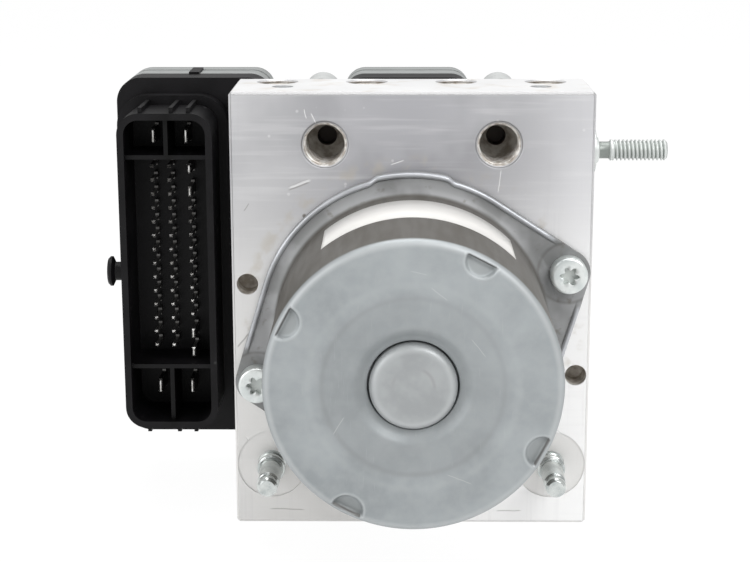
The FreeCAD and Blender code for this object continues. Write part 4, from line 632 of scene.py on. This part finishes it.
def head_finish():
    head = Finish("passivated_heads")
    milk = head.cloud(3.5, 3)
    # The six-lobed recess is painted darker as painted shade, and is rougher and less metallic.
    shaded_recess = head.y.rise(FRONT - HEAD_TOP + 0.1, FRONT - HEAD_TOP + 1.5)
    shaded_recess = shaded_recess * from_motor_screws(head).rise(3.2, 3.0)
    tone = head.mix(milk.rise(0.32, 0.68), (214, -5, 1, 0), (234, -2, 2, 0))
    tone = tone.mixed(head.cloud(1.2, 2, seed=4).rise(0.66, 0.8) * 0.3, (130, -4, 2, -4))
    tone = tone.mixed(shaded_recess * 0.5, (172, -3, 2, -2))
    return head.give(depth=0.004, color=tone, roughness=0.28 + milk * 0.14 + shaded_recess * 0.15,
                     metallic=0.62 + milk * 0.1 - shaded_recess * 0.3, bump=head.cloud(1.7, 2))


passivated_heads = head_finish()
screw_body = bent([(0, -SHANK_LENGTH, 0), (SHANK_RADIUS, -SHANK_LENGTH, 0.5),
                   (SHANK_RADIUS, SCREW_FLOOR, 0.02), (HEAD_RADIUS, SCREW_FLOOR, 0.15),
                   (HEAD_RADIUS, HEAD_TOP, 0.9), (3.3, HEAD_TOP, 0)], 6)[:-5]
recess = np.array([(1.0, 0), (0.96, -0.05), (0.95, -0.2), (0.93, -1.6), (0.91, -1.68), (0.86, -1.7),
                   (0.4, -1.72), (0.0, -1.74)]) + (0, HEAD_TOP)
screw_turn = full_turn(96)
lobes = RECESS_RADIUS + LOBE_HEIGHT * np.cos(6 * screw_turn + 0.5)
screw_radius = np.concatenate([screw_body[:, :1] + 0 * lobes, recess[:, :1] * lobes])
screw_height = np.concatenate([screw_body[:, 1], recess[:, 1]])[:, None]
for side, angle in (("right", EAR_ANGLE), ("left", EAR_ANGLE + math.pi)):
    ear = (EAR_DISTANCE * math.cos(angle), FRONT, MOTOR_Z + EAR_DISTANCE * math.sin(angle))
    screw = sheet("motor_screw_" + side, around(screw_radius, screw_height, screw_turn, ear, "front"),
                  passivated_heads, (False, True))
    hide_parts("motor_screws")


# Bearing cap. A plain drawn cup of the same coated steel, pressed into the bowl over the rear bearing; its
# rounded rim is painted a little lighter, as a painted highlight.
def cup_finish():
    cup = Finish("bearing_cup")
    from_axis = cup.off_axis(cup.x, 0, cup.z, MOTOR_Z)
    haze = cup.cloud(6, 3)
    tone = cup.mix(haze.rise(0.3, 0.7), (150, -2, 1, 2), (163, -2, 1, 2))
    # Painted highlight on the rounded rim.
    tone = tone.mixed(from_axis.near(9.6, 1.2) * 0.5, (178, -2, 1, 2))
    tone = tone.mixed(from_axis.near(5.2, 0.7) * haze.rise(0.4, 0.6) * 0.3, (124, 2, 0, -2))
    return cup.give(depth=0.05, color=tone, roughness=0.44 + haze * 0.1, metallic=0.45 + haze * 0.1,
                    bump=cup.cloud(1.2, 3))


dress(cup_finish(), "bearing_cap")


# Type strip. A band of white satin film, stuck on the can's wall over the top; it stands a tenth of a
# millimetre proud of the coat.
STRIP_START, STRIP_WIDTH, STRIP_THICK = 9.6, 23.4, 0.12


def strip_finish():
    film = Finish("blank_film", Roughness=0.5)
    tone = film.mix(film.cloud(6, 2), (196, 2, 0, -3), (208, 1, 0, -3))
    return film.give(depth=0.01, color=tone, bump=film.cloud(1.2, 2))


strip_along = np.linspace(0, 1, 60)[None, :]
strip_edge = np.array([0.0, 0.0, 1.0, 1.0])[:, None]
strip_lift = np.array([0.02, STRIP_THICK, STRIP_THICK, 0.02])[:, None]
strip_turn = np.radians(45 + 84 * strip_along) + 0 * strip_edge
strip = around(CAN_RADIUS + strip_lift, STRIP_START + STRIP_WIDTH * strip_edge, strip_turn,
               (0, FRONT, MOTOR_Z), "front")
sheet("type_strip", strip, strip_finish(), (True, False))


# Inside the motor: four ferrite magnets glued into the can, a core of stacked sheets with its enamelled
# winding, the commutator with its carbon brushes, and the shaft on two ball bearings.
CORE_SHEET, COMMUTATOR_BARS = 0.5, 10.0


def steel_finish(name, dark, light, grind, roughness):
    """Ground or turned steel: its fine marks are drawn out along the axes where grind is small."""
    ground = Finish(name)
    marks = ground.cloud(0.5, 2, stretch=grind)
    haze = ground.cloud(4, 2, seed=1)
    tone = ground.mix(marks.rise(0.35, 0.7), (dark, -1, 0, 1), (light, -1, 0, 1))
    tone = tone.mixed(haze.rise(0.55, 0.8) * 0.3, (dark - 26, 3, 0, -3))
    return ground.give(depth=0.02, color=tone, roughness=roughness + haze * 0.1, metallic=0.88 + haze * 0.1,
                       bump=marks)


def magnet_finish():
    ferrite = Finish("sintered_ferrite", Specular_IOR_Level=0.4)
    grain = ferrite.cloud(0.4, 3)
    chips = ferrite.specks(2.2, 0.12)
    tone = ferrite.mix(grain.rise(0.3, 0.7), (58, 1, 0, 0), (82, 1, 0, 0))
    tone = tone.mixed(chips * 0.5, 112)
    return ferrite.give(depth=0.05, color=tone, roughness=0.5 + grain * 0.2, bump=grain - chips)


def core_finish():
    stacked = Finish("core_sheets")
    sheets = (stacked.y * (2 * math.pi / CORE_SHEET)).wave()
    haze = stacked.cloud(3, 3)
    tone = stacked.mix(sheets.rise(-0.6, 0.2), (74, 2, 0, -2), (148, 1, 0, 0))
    tone = tone.mixed(haze.rise(0.55, 0.75) * 0.4, (104, 12, 0, -10))
    return stacked.give(depth=0.05, color=tone, roughness=0.38 + haze * 0.15, metallic=0.8 + haze * 0.1,
                        bump=sheets)


def copper_finish(name, shine, strand):
    """Copper whose wires or bars run round an axis along Y; strand is the width of one of them in mm."""
    copper = Finish(name, Coat_Roughness=0.15)
    reach = copper.off_axis(copper.x, 0, copper.z, MOTOR_Z)
    wires = ((reach + copper.y * 0.7 + copper.cloud(5, 2) * 2.5) * (2 * math.pi / strand)).wave()
    tone = copper.mix(wires.rise(-0.8, 0.3), (96, 34, -14, -42), (182, 34, -18, -60))
    tone = tone.mixed(copper.cloud(2, 2, seed=3).rise(0.5, 0.75) * 0.4, (150, 44, -24, -66))
    return copper.give(depth=0.12, color=tone, roughness=0.3 + copper.cloud(1, 2) * 0.12, bump=wires,
                       metallic=0.85 + wires * 0.05, coat=shine + copper.cloud(3, 2) * 0.1)


def commutator_finish():
    bars = Finish("commutator_bars")
    angle = bars.add("Math", {"operation": "ARCTAN2"}, {0: bars.z - MOTOR_Z, 1: bars.x})
    gaps = angle.math("COSINE", angle * COMMUTATOR_BARS).rise(0.93, 0.98)
    worn = bars.cloud(0.4, 2, stretch=(0.1, 1, 0.1))
    tone = bars.mix(worn.rise(0.3, 0.7), (150, 30, -12, -48), (186, 28, -8, -48))
    tone = tone.mixed(gaps, (38, 2, 0, -2))
    return bars.give(depth=0.2, color=tone, roughness=0.28 + worn * 0.15, metallic=0.9 - gaps * 0.8,
                     bump=1.0 - gaps)


def carbon_finish():
    carbon = Finish("pressed_carbon", Specular_IOR_Level=0.4)
    grain = carbon.cloud(0.3, 3)
    glint = carbon.specks(0.5, 0.2)
    tone = carbon.mix(grain, 40, 66)
    return carbon.give(depth=0.03, color=carbon.mix(glint * 0.6, tone, (140, 16, 2, -8)),
                       roughness=0.5 + grain * 0.2, metallic=0.1 + glint * 0.5, bump=grain)


dress(magnet_finish(), "magnets")
dress(core_finish(), "armature_core")
dress(copper_finish("enamelled_winding", 0.6, 0.8), "armature_winding")
dress(commutator_finish(), "commutator")
dress(carbon_finish(), "brush_left", "brush_right")
dress(steel_finish("ground_shaft", 158, 190, (1, 0.08, 1), 0.16), "motor_shaft", "front_bearing",
      "rear_bearing")


# Pump. A ring on needle rollers runs on the shaft's pin and drives two pistons in pressed-in sleeves; a coil
# spring holds each piston to the ring, and a plug with a hexagon socket's bore closes each side.
dress(steel_finish("hardened_ring", 146, 182, (1, 0.3, 1), 0.14), "pump_ring", "needle_rollers")
dress(steel_finish("lapped_piston", 160, 196, (0.08, 1, 1), 0.16), "pump_piston_left", "pump_piston_right",
      "pump_sleeve_left", "pump_sleeve_right")
dress(steel_finish("turned_plugs", 128, 168, (1, 0.2, 0.2), 0.3), "pump_plug_left", "pump_plug_right")


# Accumulators. Hard-anodised cup pistons slide over their springs in bores from below, and a pressed steel
# cap, staked round its edge, closes each of them.
ACCUMULATOR_X, STAKED_RADIUS = 18, 9.9


def anodised_finish():
    anodised = Finish("hard_anodised")
    skin = anodised.cloud(1.4, 3)
    bands = anodised.cloud(0.6, 2, stretch=(0.1, 0.1, 1))
    tone = anodised.mix(skin.rise(0.3, 0.7), (104, 2, 1, -4), (126, 2, 1, -4))
    tone = tone.mixed(bands.rise(0.55, 0.8) * 0.4, (150, 1, 1, -2))
    return anodised.give(depth=0.02, color=tone, roughness=0.36 + skin * 0.14, metallic=0.5 + skin * 0.1,
                         bump=bands)


def cap_finish():
    pressed = Finish("pressed_caps")
    from_middle = pressed.off_axis(abs(pressed.x), ACCUMULATOR_X, pressed.y, 0)
    haze = pressed.cloud(3, 3)
    rings = (from_middle * 5.0).wave()
    staked = from_middle.near(STAKED_RADIUS, 0.5)
    tone = pressed.mix(haze.rise(0.3, 0.7), (160, -3, 1, 0), (192, -2, 1, 0))
    tone = tone.mixed(staked * 0.5, 110)
    return pressed.give(depth=0.05, color=tone, roughness=0.3 + haze * 0.14, metallic=0.8 + haze * 0.1,
                        bump=rings * 0.2 - staked)


dress(anodised_finish(), "accumulator_piston_left", "accumulator_piston_right")
dress(cap_finish(), "accumulator_cap_left", "accumulator_cap_right")


def spring_finish():
    wire = Finish("spring_wire")
    draw = wire.cloud(0.3, 2, stretch=(1, 0.3, 1))
    tint = wire.cloud(2.5, 2, seed=6)
    tone = wire.mix(tint.rise(0.3, 0.7), (96, 2, 0, 2), (134, 6, 0, -8))
    return wire.give(depth=0.01, color=tone, roughness=0.26 + draw * 0.16, metallic=0.85 + tint * 0.1,
                     bump=draw)


spring_steel = spring_finish()
for kind, joint, wire, coils, travel in (("pump_spring_", "pump_stroke_", 0.45, 4.2, 1.8),
                                         ("brush_spring_", "brush_wear_", 0.45, 3.5, 2.0),
                                         ("accumulator_spring_", "accumulator_stroke_", 0.7, 5.2, 8.0)):
    way, flat = (2, 0) if kind.startswith("accumulator") else (0, 2)
    for side in ("left", "right"):
        low, high = (np.array(corner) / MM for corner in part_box(kind + side))
        length, mean_radius = (high - low)[way], (high - low)[flat] / 2 - wire
        moving_end, fixed_end = (low, low) if way == 2 else (high, low) if side == "left" else (low, high)
        start, fixed = (low + high) / 2, (low + high) / 2
        start[way], fixed[way] = moving_end[way], fixed_end[way]
        turns = np.linspace(0, coils, int(coils * 24))[:, None]
        section = full_turn(10)
        climb = wire + (length - 2 * wire) * np.clip((turns - 0.4) / (coils - 0.8), 0, 1)
        coil = around(mean_radius + wire * np.cos(section), climb + wire * np.sin(section),
                      2 * np.pi * turns, start, "up" if way else side)
        spring = sheet(kind + side + "_wire", coil, spring_steel, (False, True))
        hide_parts(kind + side)
        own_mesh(spring)


# Solenoid valves. Eight turned cartridges are staked into the block's back, each with a plunger in its dome,
# and a coil of enamelled wire on a moulded bobbin slips over every dome.
VALVE_PITCH, VALVE_MIDDLE, VALVE_ROWS, COIL_WIRE, WINDING_RADIUS = 24, 89, 18, 0.36, 7.02


def coil_finish():
    wound = Finish("valve_windings", Coat_Roughness=0.2)
    turns = (wound.y * (2 * math.pi / COIL_WIRE)).wave()
    from_axis = wound.off_axis(abs(abs(wound.x) - VALVE_PITCH), VALVE_PITCH / 2,
                               abs(wound.z - VALVE_MIDDLE), VALVE_ROWS / 2)
    bobbin = from_axis.rise(WINDING_RADIUS, WINDING_RADIUS + 0.08)
    tone = wound.mix(turns.rise(-0.7, 0.2), (92, 34, -14, -40), (178, 32, -22, -64))
    tone = tone.mixed(bobbin, wound.mix(wound.cloud(1, 2), 52, 64))
    return wound.give(depth=0.08, color=tone, roughness=0.32 + bobbin * 0.16, metallic=0.8 - bobbin * 0.8,
                      coat=0.5 - bobbin * 0.4, bump=turns * (1 - bobbin))


valves = [row + "_valve_%d" % number for row in ("inlet", "outlet") for number in range(1, 5)]
plungers = [row + "_plunger_%d" % number for row in ("inlet", "outlet") for number in range(1, 5)]
dress(coil_finish(), "valve_coils")
dress(steel_finish("turned_valves", 150, 186, (1, 0.12, 1), 0.22), *valves)
dress(steel_finish("soft_plungers", 132, 164, (1, 0.12, 1), 0.3), *plungers)


# Connector pins. Tinned bronze, stamped from strip: square pins in three columns, four wider tabs beside
# them and four large blades, each with a bevelled tip and a shoulder where it leaves the plastic.
PIN_TIP, PIN_FLOOR, PIN_END = -2.0, 10.0, 30.0
PIN_COLUMNS = ((73.4, 48.9, 4.03, 14), (68.5, 48.9, 4.03, 14), (62.8, 58.1, 3.9, 9))
TABS = [(62.8, z, 2.8) for z in (100.6, 94.0, 52.4, 46.9)]
BLADES = [(x, z, 4.2) for x in (72.7, 63.5) for z in (109.9, 36.7)]


def contact_sections(tall):
    """Half width and half height of a contact at each depth, from its bevelled tip to the board's end."""
    thick, slim = 0.5, 0.34
    return np.array([(PIN_TIP, thick - 0.32, tall - 0.45), (PIN_TIP + 0.55, thick, tall),
                     (PIN_FLOOR - 3.4, thick, tall), (PIN_FLOOR - 3.3, thick, tall + 0.55),
                     (PIN_FLOOR + 0.05, thick, tall + 0.55), (PIN_FLOOR + 0.1, slim, tall - 0.1),
                     (PIN_END, slim, tall - 0.1)])


def tinned_finish():
    tinned = Finish("tinned_contacts")
    cloud = tinned.cloud(0.9, 3)
    # Behind the bevelled tip the contacts are painted dark, as painted shade deep in the shroud.
    deep = tinned.y.rise(PIN_TIP + 0.7, PIN_TIP + 1.6)
    tone = tinned.mix(cloud.rise(0.35, 0.65), (170, 2, 0, -4), (226, 1, 0, -2))
    tone = tone.mixed(deep * 0.8, (70, 1, 0, -1))
    return tinned.give(depth=0.01, color=tone, roughness=0.24 + cloud * 0.14, metallic=0.85 + cloud * 0.1,
                       bump=tinned.cloud(0.3, 2))


tinned_contacts = tinned_finish()
contacts = [(x, low + pitch * row, 0.9) for x, low, pitch, rows in PIN_COLUMNS for row in range(rows)]
points, faces = [], []
corner_x, corner_z = np.array([1, 1, -1, -1.0]), np.array([-1, 1, 1, -1.0])
for x, z, tall in contacts + TABS + BLADES:
    depth, half_wide, half_tall = contact_sections(tall / 2)[:, :, None].transpose(1, 0, 2)
    rings = np.stack(np.broadcast_arrays(half_wide * corner_x - x, depth, half_tall * corner_z + z), -1)
    faces.append(quads(len(rings), 4, (False, True)) + sum(len(part) for part in points))
    points.append(rings.reshape(-1, 3))
pins = build("contact_pins", np.concatenate(points), np.concatenate(faces), tinned_contacts,
             smooth=False)
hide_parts("connector_pins")
dress(tinned_contacts, "motor_terminals")


# Control unit. The housing and its plug socket are one moulding in glass-filled black plastic; the cover
# behind is cast aluminium, shot-blasted, with a sealing groove round its edge.
SHROUD_X, SHROUD_Z, LUG_X = -68, 73.2, 26.5


def plastic_finish(name, dark, light):
    moulded = Finish(name, Specular_IOR_Level=0.22)
    grain = moulded.cloud(0.35, 2)
    flow = moulded.cloud(9, 3)
    dust = moulded.specks(3.1, 0.05)
    # The partitions between the blades stand deep in the shroud, where no light falls.
    shade = moulded.x.near(SHROUD_X, 2.2) * moulded.y.rise(12, 8) * abs(moulded.z - SHROUD_Z).rise(28, 32)
    tone = moulded.mix(flow.rise(0.3, 0.7), (dark, 0, -1, 1), (light, 0, -1, 1))
    tone = tone.mixed(dust * 0.3, 96).mixed(shade, 4)
    return moulded.give(depth=0.02, color=tone, roughness=0.4 + flow * 0.12, bump=grain)


def cover_finish():
    cast = Finish("cast_aluminium")
    skin = cast.cloud(1.1, 3)
    pits = cast.specks(1.8, 0.12)
    groove = cast.y.near(35.1, 1.1)
    tone = cast.mix(cast.cloud(10, 2), (150, -2, 1, 0), (176, -2, 1, 0))
    # Towards its rear edge the cover is painted darker, as painted shade along its outline.
    tone = tone.mixed(cast.y.rise(40.5, 43.5) * 0.8, (118, -1, 1, 1))
    tone = tone.mixed(pits * 0.4, 140)
    tone = tone.mixed(cast.cloud(2.5, 4, seed=3).rise(0.5, 0.75) * 0.25, (132, 0, 0, 1))
    tone = tone.mixed(groove * 0.85, (64, 0, 1, 2))
    # The domed lugs on top are painted lighter, as a painted highlight from above.
    lug_highlight = abs(cast.x).near(LUG_X, 7).rise(0.05, 0.3) * cast.z.rise(TOP - 8, TOP - 4)
    tone = tone.mixed(lug_highlight * 0.8, (214, -1, 1, 0))
    return cast.give(depth=0.12, color=tone, roughness=0.42 + skin * 0.15, metallic=0.6 + skin * 0.05,
                     bump=skin - pits)


def rubber_finish():
    rubber = Finish("moulded_rubber", Specular_IOR_Level=0.3)
    bloom = rubber.cloud(2, 3)
    return rubber.give(depth=0.02, color=rubber.mix(bloom.rise(0.4, 0.8), 34, (60, 2, 0, -1)),
                       roughness=0.62 + bloom * 0.2, bump=rubber.cloud(0.3, 2))


dress(plastic_finish("black_plastic", 12, 22), "ecu_housing")
dress(plastic_finish("holder_plastic", 44, 58), "brush_holder")
dress(cover_finish(), "ecu_cover")
dress(rubber_finish(), "ecu_seal", "motor_gasket")


# Circuit board. Glass laminate under green solder mask, with copper tracks, tinned pads, the processor and
# two smoothing capacitors in aluminium cans.
BOARD_FACE, TRACK_PITCH, CHIP_HALF = 31.75, 2.2, 8.3


def board_finish():
    board = Finish("solder_mask")
    x, y, z = board.x, board.y, board.z
    parts = y.rise(BOARD_FACE, BOARD_FACE + 0.1)
    across = abs(x.math("FRACT", x / TRACK_PITCH) - 0.5)
    upright = abs(z.math("FRACT", z / TRACK_PITCH) - 0.5)
    choice = board.add("TexVoronoi", {"distance": "CHEBYCHEV"}, {"Vector": board.place, "Scale": 1 / 9.0},
                       "Color")
    lean = board.add("SeparateColor", {}, {0: choice}, "Red").rise(0.45, 0.5)
    tracks = (across.rise(0.2, 0.12) * lean + upright.rise(0.2, 0.12) * (1 - lean)).capped()
    pads = board.specks(3.4, 0.3)
    tone = board.mix(board.cloud(8, 2), (62, -40, 26, -22), (74, -46, 30, -26))
    tone = tone.mixed(tracks * 0.6, (104, -60, 44, -40))
    tone = tone.mixed(pads, (196, 4, 2, -6))
    chip = abs(x).rise(CHIP_HALF, CHIP_HALF - 0.1) * abs(z - MOTOR_Z).rise(CHIP_HALF, CHIP_HALF - 0.1)
    tone = tone.mixed(parts, board.mix(chip, (190, 0, 1, 2), 34))
    metal = (pads * 0.8 + parts * (1 - chip) * 0.8).capped()
    return board.give(depth=0.04, color=tone, roughness=0.34 + pads * 0.05, metallic=metal,
                      bump=tracks + pads * 0.5)


dress(board_finish(), "circuit_board")


# Studio: a white floor under a white room, three large soft lamps and the camera where the photographer
# stood. The floor and the room are white to the camera and in reflections, and the floor keeps the shadow.
def floor_finish():
    paper = Finish("white_paper", Roughness=0.9)
    seen = paper.add("LightPath", {}, {}, "Is Camera Ray")
    mirrored = paper.add("LightPath", {}, {}, "Is Glossy Ray")
    through = paper.add("LightPath", {}, {}, "Is Transmission Ray")
    share = (seen + mirrored + through).capped() * 0.93
    weave = paper.cloud(3, 2)
    paper.give(depth=0.01, color=paper.mix(weave, 246, 252), bump=weave)
    glow = paper.add("Emission", {}, {"Color": (1, 1, 1, 1), "Strength": 1.03})
    lit = paper.add("MixShader", {}, {0: share, 1: Value(paper, paper.shader.outputs[0]), 2: glow})
    paper.tree.links.new(lit.socket, paper.surface)
    return paper.material


FLOOR_REACH, FLOOR_Z = np.array([-2.0, 2.0]), -0.0001
floor_x, floor_y = np.meshgrid(FLOOR_REACH, FLOOR_REACH, indexing="ij")
floor_points = np.stack([floor_x, floor_y, np.full_like(floor_x, FLOOR_Z)], -1).reshape(-1, 3)
floor_mesh = bpy.data.meshes.new("floor")
floor_mesh.from_pydata(floor_points.tolist(), [], [(0, 2, 3, 1)])
floor_mesh.materials.append(floor_finish())
floor = bpy.data.objects.new("floor", floor_mesh)
bpy.context.scene.collection.objects.link(floor)

world = bpy.data.worlds.new("soft_room")
bpy.context.scene.world = world
world.use_nodes = True
room = world.node_tree
background = room.nodes["Background"]
background.inputs["Color"].default_value = (1, 1, 1, 1)
ray = room.nodes.new("ShaderNodeLightPath")
strength = room.nodes.new("ShaderNodeMapRange")
strength.inputs["To Min"].default_value = 0.55
strength.inputs["To Max"].default_value = 1.0
room.links.new(ray.outputs["Is Camera Ray"], strength.inputs["Value"])
room.links.new(strength.outputs[0], background.inputs["Strength"])


def lamp(name, place, aim, size, power):
    light = bpy.data.lights.new(name, "AREA")
    light.shape, light.size, light.energy = "DISK", size, power
    made = bpy.data.objects.new(name, light)
    made.location = place
    direction = np.array(aim) - np.array(place)
    made.rotation_euler = Vector(direction).to_track_quat("-Z", "Y").to_euler()
    bpy.context.scene.collection.objects.link(made)


lamp("key", (0.5, -0.7, 0.75), (0, 0, 0.06), 0.6, 6)
lamp("fill", (-0.8, -0.6, 0.45), (0, 0, 0.06), 0.7, 4)
lamp("top", (0.0, 0.1, 1.0), (0, 0, 0.06), 0.8, 6)

PITCH, YAW, ROLL = math.radians(13.357), math.radians(0.729), math.radians(-0.1035)
camera_data = bpy.data.cameras.new("camera")
camera_data.lens, camera_data.sensor_width = 83.23, 36.0
camera_data.clip_start, camera_data.clip_end = 0.01, 10.0
camera = bpy.data.objects.new("camera", camera_data)
camera.location = (-0.0042, -0.4846, 0.18275)
camera.rotation_euler = (Matrix.Rotation(YAW, 3, "Z") @ Matrix.Rotation(math.pi / 2 - PITCH, 3, "X")
                         @ Matrix.Rotation(ROLL, 3, "Z")).to_euler()
bpy.context.scene.collection.objects.link(camera)
bpy.context.scene.camera = camera
bpy.context.scene.view_settings.view_transform = "Standard"
